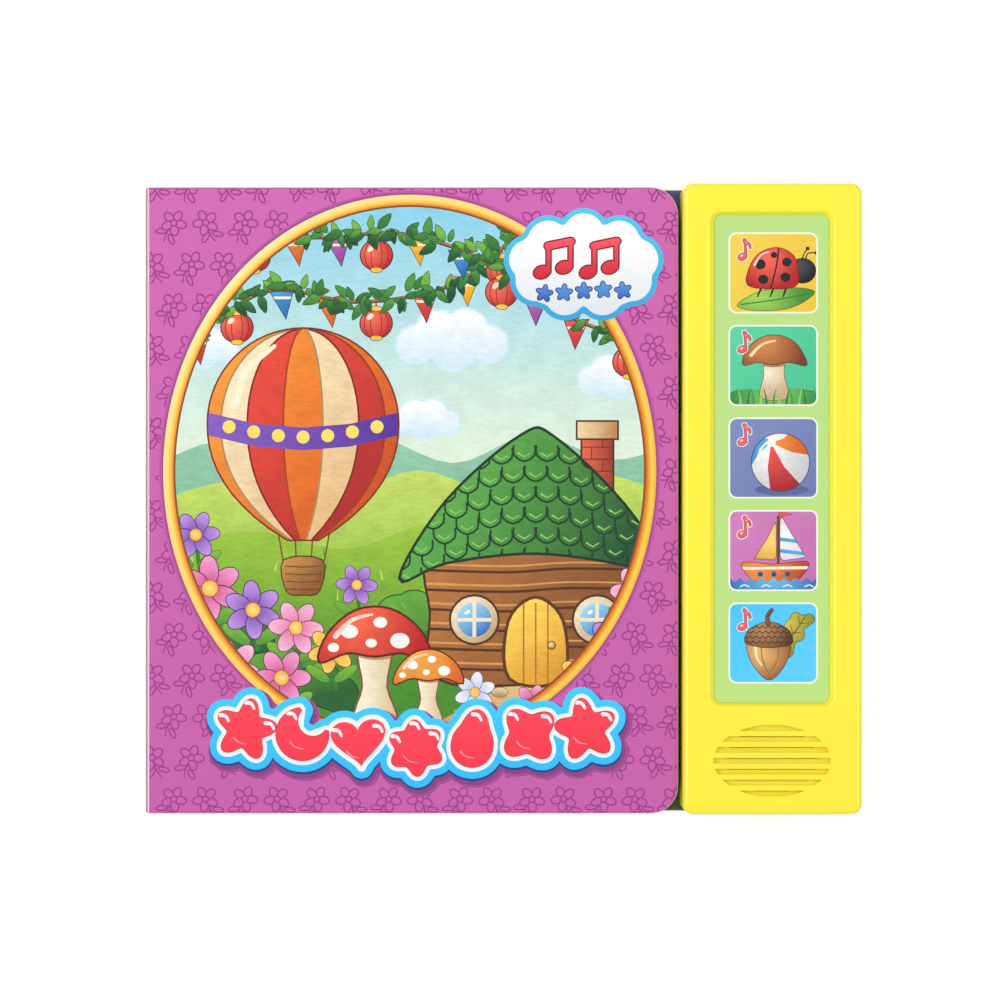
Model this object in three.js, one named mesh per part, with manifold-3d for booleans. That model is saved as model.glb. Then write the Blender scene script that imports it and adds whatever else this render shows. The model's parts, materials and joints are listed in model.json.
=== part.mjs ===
// Board book with a battery sound module along its right side, lying closed on its back.
// X runs across the width, Y up the height of the pages, Z is the thickness. Units are millimetres.
import * as THREE from 'three';
import { mergeVertices } from 'three/addons/utils/BufferGeometryUtils.js';
import Module from 'manifold-3d';

const wasm = await Module();
wasm.setup();

// Driving dimensions of the boards and pages
const coverWidth = 148.8;
const coverHeight = 175;
const coverThickness = 2.0;
const foreCornerRadius = 7.8;
const spineCornerRadius = 0.8;
const leafCount = 4;
const leafThickness = 1.6;
const leafGap = 0.25;
const bindingDepth = 3.0;
const spineThickness = 1.0;
const hingeGap = 0.3;
const foreEdgeInset = 0.3;

// Driving dimensions of the module's case
const moduleGap = 0.8;
const moduleWidth = 50.4;
const moduleHeight = 176;
const moduleCornerRadius = 3.0;
const caseEdgeBevel = 1.2;
const wall = 1.6;
const topWall = 1.6;
const floorThickness = 1.6;
const coverBottomInset = 0.1;
const fitClearance = 0.1;
const slideClearance = 0.3;

// Long recess with its printed film, and the keys under it
const recessSideBorder = 7.65;
const recessTopBorder = 7.15;
const recessBottomBorder = 29.6;
const recessChamfer = 1.5;
const filmCornerRadius = 2.0;
const filmThickness = 0.3;
const shelfThickness = 1.4;
const trayWall = 1.5;
const keyCount = 5;
const windowSideMargin = 3.95;
const windowTopMargin = 5.375;
const windowBottomMargin = 5.775;
const windowGap = 3.9;
const windowCornerRadius = 2.4;
const keyFlangeLip = 1.4;
const keyFlangeThickness = 1.0;
const keyStemRadius = 3.0;
const keyStemHeight = 0.3;
const domeRadius = 4.2;
const domeTopRadius = 2.4;
const domeHeight = 1.6;
const flangeClearance = 0.2;

// Circuit board, on posts under the shelf
const boardThickness = 1.2;
const boardEndMargin = 1.2;
const postRadius = 1.0;
const postMargin = 0.4;
const chipRadius = 5.0;
const chipHeight = 1.0;
const chipBelowBoardTop = 12.0;
const boardClearance = 0.4;

// Battery box with three button cells in a row
const cellCount = 3;
const cellRadius = 5.8;
const cellHeight = 5.4;
const cellGap = 0.4;
const plateThickness = 0.3;
const plateWidth = 6.0;
const boxWall = 1.2;
const boxCeiling = 1.2;
const endContactRoom = 1.4;
const tabReach = 1.5;
const doorLedge = 2.2;
const doorScrewRoom = 7.0;
const doorCornerRadius = 1.5;
const ledgeThickness = 1.2;
const batteryCentreY = 0;

// Screws and their bosses
const bossRadius = 2.5;
const bossRows = 3;
const screwRadius = 1.0;
const screwLength = 8.0;
const doorScrewLength = 4.5;
const pilotRoom = 0.5;
const pilotRoof = 0.8;
const screwHeadRadius = 2.0;
const screwHeadHeight = 0.8;
const screwHeadInset = 0.1;
const clampRibThickness = 1.4;
const clampRibEndGap = 8.0;

// Speaker and its oval louvred grille
const grilleWidth = 32.6;
const grilleHeight = 20.1;
const grilleCentreAboveBottom = 15.1;
const louvreCount = 7;
const louvrePitch = 3.04;
const louvreHeight = 1.45;
const louvreDeep = 0.9;
const louvreShallow = 0.35;
const slotHeight = 0.45;
const slotSideInset = 3.4;
const speakerRadius = 13.5;
const speakerRimHeight = 1.9;
const basketDepth = 3.7;
const basketThickness = 0.9;
const magnetRadius = 6.5;
const magnetHeight = 2.2;
const speakerRingWall = 1.2;
const speakerRingHeight = 3.6;
const speakerLedge = 1.2;
const wireRadius = 0.5;

// Places that follow from the sizes
const totalWidth = coverWidth + moduleGap + moduleWidth;
const left = -totalWidth / 2;
const moduleLeft = left + coverWidth + moduleGap;
const moduleRight = moduleLeft + moduleWidth;
const moduleCentreX = (moduleLeft + moduleRight) / 2;
const moduleBottom = -moduleHeight / 2;
const moduleTop = moduleHeight / 2;
const coverBottom = moduleBottom + coverBottomInset;
const coverTop = coverBottom + coverHeight;

// Heights of the battery box, circuit board, keys and film, from the floor up to the module's top
const cellBottomZ = floorThickness + plateThickness + fitClearance;
const cellTopZ = cellBottomZ + cellHeight;
const boxCeilingZ = cellTopZ + fitClearance + plateThickness;
const boxTopZ = boxCeilingZ + boxCeiling;
const boardBottomZ = boxTopZ + boardClearance;
const boardTopZ = boardBottomZ + boardThickness;
const stemBottomZ = boardTopZ + domeHeight + fitClearance;
const flangeBottomZ = stemBottomZ + keyStemHeight;
const flangeTopZ = flangeBottomZ + keyFlangeThickness;
const shelfBottomZ = flangeTopZ + flangeClearance;
const shelfTopZ = shelfBottomZ + shelfThickness;
const filmTopZ = shelfTopZ + filmThickness;
const moduleTopZ = filmTopZ + recessChamfer;
const ceilingZ = moduleTopZ - topWall;

// Heights of the boards and pages
const backBoardTopZ = floorThickness + coverThickness;
const pagesBottomZ = backBoardTopZ + hingeGap;
const pagesTopZ = pagesBottomZ + leafCount * leafThickness + (leafCount - 1) * leafGap;
const frontCoverBottomZ = pagesTopZ + hingeGap;
const partingZ = floorThickness + coverThickness / 2;

// Places of the bosses, the clamping rib and the recess
const bossInset = wall + slideClearance + bossRadius;
const bossLeftX = moduleLeft + bossInset;
const bossRightX = moduleRight - bossInset;
const ribLeftX = bossLeftX + bossRadius + slideClearance;
const ribRightX = ribLeftX + clampRibThickness;
const boardTabRightX = ribRightX + slideClearance * 4;
const filmLeft = moduleLeft + recessSideBorder + recessChamfer;
const filmRight = moduleRight - recessSideBorder - recessChamfer;
const filmBottom = moduleBottom + recessBottomBorder + recessChamfer;
const filmTop = moduleTop - recessTopBorder - recessChamfer;
const windowWidth = filmRight - filmLeft - 2 * windowSideMargin;
const windowColumn = filmTop - filmBottom - windowTopMargin - windowBottomMargin;
const windowHeight = (windowColumn - (keyCount - 1) * windowGap) / keyCount;
const keyPitch = windowHeight + windowGap;
const firstKeyY = filmTop - windowTopMargin - windowHeight / 2;
const flangeHalfWidth = windowWidth / 2 - slideClearance + keyFlangeLip;
const postX = flangeHalfWidth + slideClearance + postRadius;
const keyRows = Array.from({ length: keyCount }, (_, i) => firstKeyY - i * keyPitch);
const flangeHalfHeight = windowHeight / 2 - slideClearance + keyFlangeLip;
const boardHalfWidth = postX + postRadius + postMargin;
const boardEndTop = keyRows[0] + flangeHalfHeight + boardEndMargin;
const boardEndBottom = keyRows[keyCount - 1] - flangeHalfHeight - boardEndMargin;

// Places of the cells, the box and the door, with the door's screw at its lower end
const cellPitch = 2 * cellRadius + cellGap;
const boxHalfWidth = cellRadius + slideClearance;
const boxHalfLength = (cellCount * cellPitch - cellGap) / 2 + endContactRoom;
const doorHalfWidth = boxHalfWidth + doorLedge;
const doorTop = batteryCentreY + boxHalfLength + doorLedge;
const doorBottom = batteryCentreY - boxHalfLength - doorScrewRoom;
const doorScrewY = batteryCentreY - boxHalfLength - boxWall - bossRadius - slideClearance;
const cellRows = Array.from({ length: cellCount }, (_, i) => batteryCentreY + ((cellCount - 1) / 2 - i) * cellPitch);

// Places of the speaker and the grille
const grilleY = moduleBottom + grilleCentreAboveBottom;
const speakerY = moduleBottom + wall + slideClearance + speakerRadius;
const speakerSeatZ = shelfBottomZ;
const speakerFrontZ = speakerSeatZ - fitClearance;
const basketBottomZ = speakerFrontZ - basketDepth;

const finishes = {
  coverBoard: new THREE.MeshStandardMaterial({ color: 0xc9619f, roughness: 0.35 }),
  pageBoard: new THREE.MeshStandardMaterial({ color: 0xf0ece4, roughness: 0.55 }),
  yellowPlastic: new THREE.MeshStandardMaterial({ color: 0xfef13c, roughness: 0.35 }),
  film: new THREE.MeshStandardMaterial({ color: 0xc3e687, roughness: 0.2 }),
  keyPlastic: new THREE.MeshStandardMaterial({ color: 0xf2f2ee, roughness: 0.45 }),
  silicone: new THREE.MeshStandardMaterial({ color: 0xb9bcc0, roughness: 0.7 }),
  circuitBoard: new THREE.MeshStandardMaterial({ color: 0x2f7a45, roughness: 0.5 }),
  epoxy: new THREE.MeshStandardMaterial({ color: 0x151515, roughness: 0.35 }),
  steel: new THREE.MeshStandardMaterial({ color: 0xb8babd, roughness: 0.3, metalness: 1 }),
  springSteel: new THREE.MeshStandardMaterial({ color: 0xcfd0cc, roughness: 0.25, metalness: 1 }),
  speakerFilm: new THREE.MeshStandardMaterial({ color: 0x3a3a3d, roughness: 0.4 }),
  redWire: new THREE.MeshStandardMaterial({ color: 0xb8231f, roughness: 0.5 }),
  blackWire: new THREE.MeshStandardMaterial({ color: 0x1b1b1d, roughness: 0.5 }),
};

const curveSegments = 3;
const roundSides = 24;
const smallSides = 12;

/** A closed geometry with shared vertices merged and empty triangles left out. */
function tidy(geometry) {
  const bare = geometry.clone();
  bare.deleteAttribute('normal');
  bare.deleteAttribute('uv');
  const merged = mergeVertices(bare, 1e-4);
  const corners = merged.index.array;
  const kept = [];
  for (let i = 0; i < corners.length; i += 3) {
    const [a, b, c] = [corners[i], corners[i + 1], corners[i + 2]];
    if (a !== b && b !== c && c !== a) kept.push(a, b, c);
  }
  merged.setIndex(kept);
  return merged;
}

/** A solid that can be joined and cut, from a closed geometry. */
function solid(geometry) {
  const closed = tidy(geometry);
  return new wasm.Manifold(new wasm.Mesh({
    numProp: 3,
    vertProperties: new Float32Array(closed.attributes.position.array),
    triVerts: new Uint32Array(closed.index.array),
  }));
}

/** The geometry of a joined or cut solid. */
function geometryOf(body) {
  const result = body.getMesh();
  const geometry = new THREE.BufferGeometry();
  geometry.setAttribute('position', new THREE.BufferAttribute(result.vertProperties, result.numProp));
  geometry.setIndex(new THREE.BufferAttribute(result.triVerts, 1));
  return geometry;
}

/** The join of several solids. */
function join(solids) {
  return solids.reduce((sum, next) => sum.add(next));
}

/** A solid less several others. */
function cut(body, cutters) {
  return cutters.reduce((rest, cutter) => rest.subtract(cutter), body);
}

/** A flat outline with straight sides and its own corner radii at the left and the right. */
function outline(x0, x1, y0, y1, leftRadius, rightRadius = leftRadius) {
  const shape = new THREE.Shape();
  const quarter = Math.PI / 2;
  shape.absarc(x1 - rightRadius, y1 - rightRadius, rightRadius, 0, quarter);
  shape.absarc(x0 + leftRadius, y1 - leftRadius, leftRadius, quarter, 2 * quarter);
  shape.absarc(x0 + leftRadius, y0 + leftRadius, leftRadius, 2 * quarter, 3 * quarter);
  shape.absarc(x1 - rightRadius, y0 + rightRadius, rightRadius, 3 * quarter, 4 * quarter);
  return shape;
}

/** An upright prism over an outline, from one height to another. */
function prism(shape, z0, z1) {
  const geometry = new THREE.ExtrudeGeometry(shape, { depth: z1 - z0, bevelEnabled: false, curveSegments });
  return geometry.translate(0, 0, z0);
}

/** A prism over an outline whose top and bottom edges are rounded inwards by the bevel. */
function bevelledPrism(shape, z0, z1, bevel) {
  const geometry = new THREE.ExtrudeGeometry(shape, {
    depth: z1 - z0 - 2 * bevel,
    bevelThickness: bevel,
    bevelSize: bevel,
    bevelOffset: -bevel,
    bevelSegments: 3,
    curveSegments,
  });
  return geometry.translate(0, 0, z0 + bevel);
}

/** A rectangular block between two corners. */
function block(x0, x1, y0, y1, z0, z1) {
  const geometry = new THREE.BoxGeometry(x1 - x0, y1 - y0, z1 - z0);
  return geometry.translate((x0 + x1) / 2, (y0 + y1) / 2, (z0 + z1) / 2);
}

/** An upright cylinder or cone at a place, between two heights. */
function rod(x, y, z0, z1, radius, topRadius = radius, sides = smallSides) {
  const geometry = new THREE.CylinderGeometry(topRadius, radius, z1 - z0, sides);
  return geometry.rotateX(Math.PI / 2).translate(x, y, (z0 + z1) / 2);
}

/** A turned piece about an upright axis, from its radius and height pairs. */
function turned(x, y, profile, sides = roundSides) {
  const points = profile.map(([radius, z]) => new THREE.Vector2(radius, z));
  const geometry = new THREE.LatheGeometry(points, sides);
  return geometry.rotateX(Math.PI / 2).translate(x, y, 0);
}

/** A round wire along a smooth path through the points. */
function wire(points) {
  const section = new THREE.Shape().absarc(0, 0, wireRadius, 0, 2 * Math.PI);
  const path = new THREE.CatmullRomCurve3(points.map((point) => new THREE.Vector3(...point)));
  return new THREE.ExtrudeGeometry(section, {
    steps: 10,
    bevelEnabled: false,
    curveSegments: 4,
    extrudePath: path,
  });
}

/** A named mesh for the assembly, from a geometry or a solid. */
function piece(name, shape, material) {
  const geometry = shape.isBufferGeometry ? tidy(shape) : geometryOf(shape);
  const mesh = new THREE.Mesh(geometry, material);
  mesh.name = name;
  return mesh;
}

// Book boards

/** Front cover: one board with rounded fore corners, folded at the top of the spine. */
function makeFrontCover() {
  const shape = outline(left + hingeGap, left + coverWidth, coverBottom, coverTop, spineCornerRadius, foreCornerRadius);
  return piece('front_cover', prism(shape, frontCoverBottomZ, frontCoverBottomZ + coverThickness), finishes.coverBoard);
}

/** Spine: the upright strip of board between the two cover folds. */
function makeSpine() {
  const strip = block(left, left + spineThickness, coverBottom, coverTop, pagesBottomZ, pagesTopZ);
  return piece('spine', strip, finishes.coverBoard);
}

/** Page block: board leaves with their small gaps, joined along the binding. */
function makePageBlock() {
  const pagesLeft = left + spineThickness;
  const pagesRight = left + coverWidth - foreEdgeInset;
  const leafShape = outline(pagesLeft, pagesRight, coverBottom, coverTop, spineCornerRadius, foreCornerRadius);
  const leaves = Array.from({ length: leafCount }, (_, i) => {
    const bottom = pagesBottomZ + i * (leafThickness + leafGap);
    return solid(prism(leafShape, bottom, bottom + leafThickness));
  });
  const bindingShape = outline(pagesLeft, pagesLeft + bindingDepth, coverBottom, coverTop, spineCornerRadius);
  const binding = solid(prism(bindingShape, pagesBottomZ, pagesTopZ));
  return piece('page_block', join([binding, ...leaves]), finishes.pageBoard);
}

/** The back board's tab inside the module, grown by a clearance all round. */
function boardTab(clearance, z0, z1) {
  const inset = wall + slideClearance - clearance;
  return solid(block(
    moduleLeft - wall,
    boardTabRightX + clearance,
    coverBottom + inset,
    coverTop - inset,
    z0,
    z1,
  ));
}

/** Back cover: full height up to the module's wall, then a narrower tab that the two shells clamp. */
function makeBackCover() {
  const z0 = floorThickness;
  const z1 = backBoardTopZ;
  const shape = outline(left, moduleLeft + wall, coverBottom, coverTop, spineCornerRadius);
  const board = solid(prism(shape, z0, z1)).add(boardTab(0, z0, z1));
  const holes = bossRowPlaces().map((y) => solid(rod(bossLeftX, y, z0 - 1, z1 + 1, bossRadius + slideClearance)));
  return piece('back_cover', cut(board, holes), finishes.coverBoard);
}

// Module case

/** The rows of case screws up the module. */
function bossRowPlaces() {
  const reach = moduleHeight / 2 - bossInset;
  return Array.from({ length: bossRows }, (_, i) => reach - (2 * reach * i) / (bossRows - 1));
}

/** Every case screw's place. */
function bossPlaces() {
  return [bossLeftX, bossRightX].flatMap((x) => bossRowPlaces().map((y) => [x, y]));
}

/** The module's outline, inset by a distance. */
function caseOutline(inset) {
  return outline(
    moduleLeft + inset,
    moduleRight - inset,
    moduleBottom + inset,
    moduleTop - inset,
    Math.max(moduleCornerRadius - inset, moduleCornerRadius / 3),
  );
}

/** The room that the back board takes between the two shells. */
function boardRoom() {
  const z1 = backBoardTopZ + fitClearance;
  const edge = solid(block(
    moduleLeft - wall,
    moduleLeft + wall + slideClearance,
    moduleBottom - wall,
    moduleTop + wall,
    floorThickness,
    z1,
  ));
  return edge.add(boardTab(slideClearance, floorThickness, z1));
}

/** The recess for the film, with its sloping border. */
function recessCutter() {
  const shape = outline(filmLeft, filmRight, filmBottom, filmTop, filmCornerRadius);
  const slope = new THREE.ExtrudeGeometry(shape, {
    depth: recessChamfer,
    bevelThickness: recessChamfer,
    bevelSize: recessChamfer,
    bevelSegments: 1,
    curveSegments,
  });
  const seat = prism(shape, shelfTopZ, moduleTopZ);
  return solid(slope.translate(0, 0, moduleTopZ)).add(solid(seat));
}

/** One key window through the shelf. */
function windowCutter(y) {
  const shape = outline(
    moduleCentreX - windowWidth / 2,
    moduleCentreX + windowWidth / 2,
    y - windowHeight / 2,
    y + windowHeight / 2,
    windowCornerRadius,
  );
  return solid(prism(shape, shelfBottomZ - 1, shelfTopZ + 1));
}

/** An upright oval prism round the grille's centre, narrower than the grille by an inset at each side. */
function oval(inset, z0, z1) {
  const shape = new THREE.Shape();
  shape.absellipse(moduleCentreX, grilleY, grilleWidth / 2 - inset, grilleHeight / 2 - inset / 4, 0, 2 * Math.PI);
  const geometry = new THREE.ExtrudeGeometry(shape, { depth: z1 - z0, bevelEnabled: false, curveSegments: 24 });
  return solid(geometry.translate(0, 0, z0));
}

/** The louvres: wedge grooves that are deepest at their upper edge, where a slot goes through. */
function grilleCutters() {
  const reach = grilleWidth / 2 + 1;
  const grooves = [];
  const slots = [];
  for (let i = 0; i < louvreCount; i += 1) {
    const upper = grilleY + ((louvreCount - 1) / 2 - i) * louvrePitch + louvreHeight / 2;
    const section = new THREE.Shape([
      new THREE.Vector2(upper, 1),
      new THREE.Vector2(upper, -louvreDeep),
      new THREE.Vector2(upper - louvreHeight, -louvreShallow),
      new THREE.Vector2(upper - louvreHeight, 1),
    ]);
    const groove = new THREE.ExtrudeGeometry(section, { depth: 2 * reach, bevelEnabled: false });
    groove.applyMatrix4(new THREE.Matrix4().makeBasis(
      new THREE.Vector3(0, 1, 0),
      new THREE.Vector3(0, 0, 1),
      new THREE.Vector3(1, 0, 0),
    ));
    grooves.push(solid(groove.translate(moduleCentreX - reach, 0, moduleTopZ)));
    slots.push(solid(block(
      moduleCentreX - reach,
      moduleCentreX + reach,
      upper - slotHeight,
      upper,
      ceilingZ - 1,
      moduleTopZ,
    )));
  }
  const shallow = join(grooves).intersect(oval(0, ceilingZ, moduleTopZ + 2));
  const through = join(slots).intersect(oval(slotSideInset, ceilingZ - 2, moduleTopZ + 2));
  return [shallow, through];
}

/** Front shell: a hollow lid with the recess, windows, grille, bosses, clamping rib, posts and speaker ring. */
function makeFrontShell() {
  const outer = solid(bevelledPrism(caseOutline(0), partingZ - caseEdgeBevel, moduleTopZ, caseEdgeBevel));
  const belowParting = solid(block(
    moduleLeft - wall,
    moduleRight + wall,
    moduleBottom - wall,
    moduleTop + wall,
    partingZ - 2 * caseEdgeBevel,
    partingZ,
  ));
  const lowRoom = solid(prism(caseOutline(wall), partingZ - 1, shelfBottomZ));
  const tray = solid(block(
    filmLeft - recessChamfer - trayWall,
    filmRight + recessChamfer + trayWall,
    filmBottom - recessChamfer - trayWall,
    filmTop + recessChamfer + trayWall,
    shelfBottomZ - 1,
    moduleTopZ,
  ));
  const highRoom = solid(prism(caseOutline(wall), shelfBottomZ - 0.5, ceilingZ)).subtract(tray);
  const hollow = cut(outer, [belowParting, lowRoom, highRoom]);

  const bosses = bossPlaces().map(([x, y]) => solid(rod(x, y, floorThickness, ceilingZ + 0.5, bossRadius)));
  const postRows = keyRows.slice(1).map((y) => y + keyPitch / 2);
  const posts = [postRows[0], postRows[postRows.length - 1]].flatMap((y) => [-postX, postX].map((x) => (
    solid(rod(moduleCentreX + x, y, boardTopZ, shelfBottomZ + 0.5, postRadius))
  )));
  const ribReach = moduleHeight / 2 - wall - clampRibEndGap;
  const rib = solid(block(
    ribLeftX,
    ribRightX,
    -ribReach,
    ribReach,
    backBoardTopZ + fitClearance,
    ceilingZ + 0.5,
  ));
  const ringOuter = speakerRadius + slideClearance + speakerRingWall;
  const ringBottomZ = speakerSeatZ - speakerRingHeight;
  const round = (z0, z1, radius) => solid(rod(moduleCentreX, speakerY, z0, z1, radius, radius, roundSides));
  const ring = cut(round(ringBottomZ, ceilingZ + 0.5, ringOuter), [
    round(ringBottomZ - 1, speakerSeatZ, speakerRadius + slideClearance),
    round(ringBottomZ - 1, ceilingZ, speakerRadius - speakerLedge),
  ]);
  const furnished = join([hollow, rib, ...bosses, ...posts, ring]);

  const pilots = bossPlaces().map(([x, y]) => solid(rod(
    x,
    y,
    floorThickness - 1,
    screwHeadInset + screwHeadHeight + screwLength + pilotRoom,
    screwRadius + fitClearance,
  )));
  const windows = keyRows.map(windowCutter);
  const shell = cut(furnished, [boardRoomRoundBosses(), recessCutter(), ...windows, ...pilots, ...grilleCutters()]);
  return piece('front_shell', shell, finishes.yellowPlastic);
}

/** The back board's room, less the bosses that pass through its holes. */
function boardRoomRoundBosses() {
  const bosses = bossRowPlaces().map((y) => (
    solid(rod(bossLeftX, y, floorThickness - 1, backBoardTopZ + 1, bossRadius))
  ));
  return cut(boardRoom(), bosses);
}

/** Label film: the thin printed sheet in the recess, over all the keys. */
function makeLabelFilm() {
  const shape = outline(
    filmLeft + fitClearance,
    filmRight - fitClearance,
    filmBottom + fitClearance,
    filmTop - fitClearance,
    filmCornerRadius - fitClearance,
  );
  return piece('label_film', prism(shape, shelfTopZ, filmTopZ), finishes.film);
}

/** One key: a plate in its window, a wider flange under the shelf and a short stem over its dome. */
function makeKey(index) {
  const y = keyRows[index];
  const halfWidth = windowWidth / 2 - slideClearance;
  const halfHeight = windowHeight / 2 - slideClearance;
  const plateShape = outline(
    moduleCentreX - halfWidth,
    moduleCentreX + halfWidth,
    y - halfHeight,
    y + halfHeight,
    windowCornerRadius - slideClearance,
  );
  const flangeShape = outline(
    moduleCentreX - flangeHalfWidth,
    moduleCentreX + flangeHalfWidth,
    y - flangeHalfHeight,
    y + flangeHalfHeight,
    windowCornerRadius,
  );
  const plate = solid(prism(plateShape, flangeBottomZ, shelfTopZ));
  const flange = solid(prism(flangeShape, flangeBottomZ, flangeTopZ));
  const stem = solid(rod(moduleCentreX, y, stemBottomZ, flangeBottomZ + 0.5, keyStemRadius));
  return piece(`key_${index + 1}`, join([plate, flange, stem]), finishes.keyPlastic);
}

/** One silicone dome on the circuit board, under a key's stem. */
function makeDome(index) {
  const dome = rod(moduleCentreX, keyRows[index], boardTopZ, boardTopZ + domeHeight, domeRadius, domeTopRadius);
  return piece(`dome_${index + 1}`, dome, finishes.silicone);
}

/** Circuit board: one long plate under all the keys. */
function makeCircuitBoard() {
  const shape = outline(
    moduleCentreX - boardHalfWidth,
    moduleCentreX + boardHalfWidth,
    boardEndBottom,
    boardEndTop,
    postRadius,
  );
  return piece('circuit_board', prism(shape, boardBottomZ, boardTopZ), finishes.circuitBoard);
}

/** Sound chip: the round drop of epoxy on the circuit board's lower face. */
function makeSoundChip() {
  const profile = [
    [0, boardBottomZ - chipHeight],
    [chipRadius * 0.55, boardBottomZ - chipHeight * 0.85],
    [chipRadius * 0.85, boardBottomZ - chipHeight * 0.5],
    [chipRadius, boardBottomZ],
    [0, boardBottomZ],
  ];
  return piece('sound_chip', turned(moduleCentreX, boardEndTop - chipBelowBoardTop, profile, 24), finishes.epoxy);
}

/** Back shell: the floor with its rim, the battery box, the door's seat and the screw holes. */
function makeBackShell() {
  const outer = solid(bevelledPrism(caseOutline(0), 0, partingZ + caseEdgeBevel, caseEdgeBevel));
  const aboveParting = solid(block(
    moduleLeft - wall,
    moduleRight + wall,
    moduleBottom - wall,
    moduleTop + wall,
    partingZ,
    partingZ + 2 * caseEdgeBevel,
  ));
  const room = solid(prism(caseOutline(wall), floorThickness, partingZ + 1));
  const floor = cut(outer, [aboveParting, room]);

  const seatHalfWidth = doorHalfWidth + slideClearance + boxWall;
  const seat = solid(block(
    moduleCentreX - seatHalfWidth,
    moduleCentreX + seatHalfWidth,
    doorBottom - slideClearance - boxWall,
    doorTop + slideClearance + boxWall,
    floorThickness - 0.5,
    floorThickness + ledgeThickness,
  ));
  const box = solid(block(
    moduleCentreX - boxHalfWidth - boxWall,
    moduleCentreX + boxHalfWidth + boxWall,
    batteryCentreY - boxHalfLength - boxWall,
    batteryCentreY + boxHalfLength + boxWall,
    floorThickness - 0.5,
    boxTopZ,
  ));
  const doorPilotTopZ = screwHeadInset + screwHeadHeight + doorScrewLength + pilotRoom;
  const doorBoss = solid(rod(moduleCentreX, doorScrewY, floorThickness - 0.5, doorPilotTopZ + pilotRoof, bossRadius));

  const doorOpening = solid(prism(doorOutline(slideClearance), -1, floorThickness));
  const cellRoom = solid(block(
    moduleCentreX - boxHalfWidth,
    moduleCentreX + boxHalfWidth,
    batteryCentreY - boxHalfLength,
    batteryCentreY + boxHalfLength,
    floorThickness - 1,
    boxCeilingZ,
  ));
  const tabSlots = solid(block(
    moduleCentreX - plateWidth / 2 - fitClearance,
    moduleCentreX + plateWidth / 2 + fitClearance,
    batteryCentreY - boxHalfLength - boxWall - 1,
    batteryCentreY + boxHalfLength + boxWall + 1,
    boxCeilingZ - plateThickness - fitClearance,
    boxCeilingZ,
  ));
  const doorPilot = solid(rod(
    moduleCentreX,
    doorScrewY,
    floorThickness - 1,
    doorPilotTopZ,
    screwRadius + fitClearance,
  ));
  const headSeatZ = screwHeadInset + screwHeadHeight;
  const caseHoles = bossPlaces().flatMap(([x, y]) => [
    solid(rod(x, y, -1, headSeatZ, screwHeadRadius + slideClearance)),
    solid(rod(x, y, headSeatZ - 0.5, floorThickness + 1, screwRadius + fitClearance)),
  ]);
  const body = join([floor, seat, box, doorBoss]);
  const shell = cut(body, [boardRoom(), doorOpening, cellRoom, tabSlots, doorPilot, ...caseHoles]);
  return piece('back_shell', shell, finishes.yellowPlastic);
}

/** The battery door's outline, grown by a clearance. */
function doorOutline(clearance) {
  return outline(
    moduleCentreX - doorHalfWidth - clearance,
    moduleCentreX + doorHalfWidth + clearance,
    doorBottom - clearance,
    doorTop + clearance,
    doorCornerRadius + clearance,
  );
}

/** Battery door: a flat plate flush with the floor, held by one screw. */
function makeBatteryDoor() {
  const headSeatZ = screwHeadInset + screwHeadHeight;
  const plate = solid(prism(doorOutline(0), 0, floorThickness));
  const holes = [
    solid(rod(moduleCentreX, doorScrewY, -1, headSeatZ, screwHeadRadius + slideClearance)),
    solid(rod(moduleCentreX, doorScrewY, headSeatZ - 0.5, floorThickness + 1, screwRadius + fitClearance)),
  ];
  return piece('battery_door', cut(plate, holes), finishes.yellowPlastic);
}

/** One screw from below, with a flat head and a cross recess. */
function makeScrew(name, x, y, length) {
  const headTopZ = screwHeadInset + screwHeadHeight;
  const head = solid(rod(x, y, screwHeadInset, headTopZ, screwHeadRadius, screwHeadRadius, 24));
  const shank = solid(rod(x, y, headTopZ - 0.2, headTopZ + length, screwRadius));
  const slotHalfWidth = 0.3;
  const slotHalfLength = 1.2;
  const slotTopZ = screwHeadInset + screwHeadHeight / 2;
  const recess = [
    solid(block(x - slotHalfLength, x + slotHalfLength, y - slotHalfWidth, y + slotHalfWidth, -1, slotTopZ)),
    solid(block(x - slotHalfWidth, x + slotHalfWidth, y - slotHalfLength, y + slotHalfLength, -1, slotTopZ)),
  ];
  return piece(name, cut(head.add(shank), recess), finishes.steel);
}

// Battery cells and contacts

/** One button cell; a flipped cell has its smaller negative face down. */
function makeCell(index) {
  const flipped = index % 2 === 1;
  const crimp = 0.35;
  const button = cellRadius - 0.9;
  const levels = [
    [0, 0],
    [cellRadius - crimp, 0],
    [cellRadius, crimp],
    [cellRadius, cellHeight - 0.6],
    [cellRadius - crimp, cellHeight - 0.3],
    [button, cellHeight - 0.3],
    [button - 0.2, cellHeight],
    [0, cellHeight],
  ];
  const upright = levels.map(([radius, z]) => [radius, cellBottomZ + z]);
  const upsideDown = levels.map(([radius, z]) => [radius, cellTopZ - z]).reverse();
  const profile = flipped ? upsideDown : upright;
  return piece(`cell_${index + 1}`, turned(moduleCentreX, cellRows[index], profile), finishes.steel);
}

/** A flat contact plate between two places along the row of cells. */
function contactPlate(y0, y1, z0) {
  const halfWidth = plateWidth / 2;
  return block(moduleCentreX - halfWidth, moduleCentreX + halfWidth, y0, y1, z0, z0 + plateThickness);
}

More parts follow.
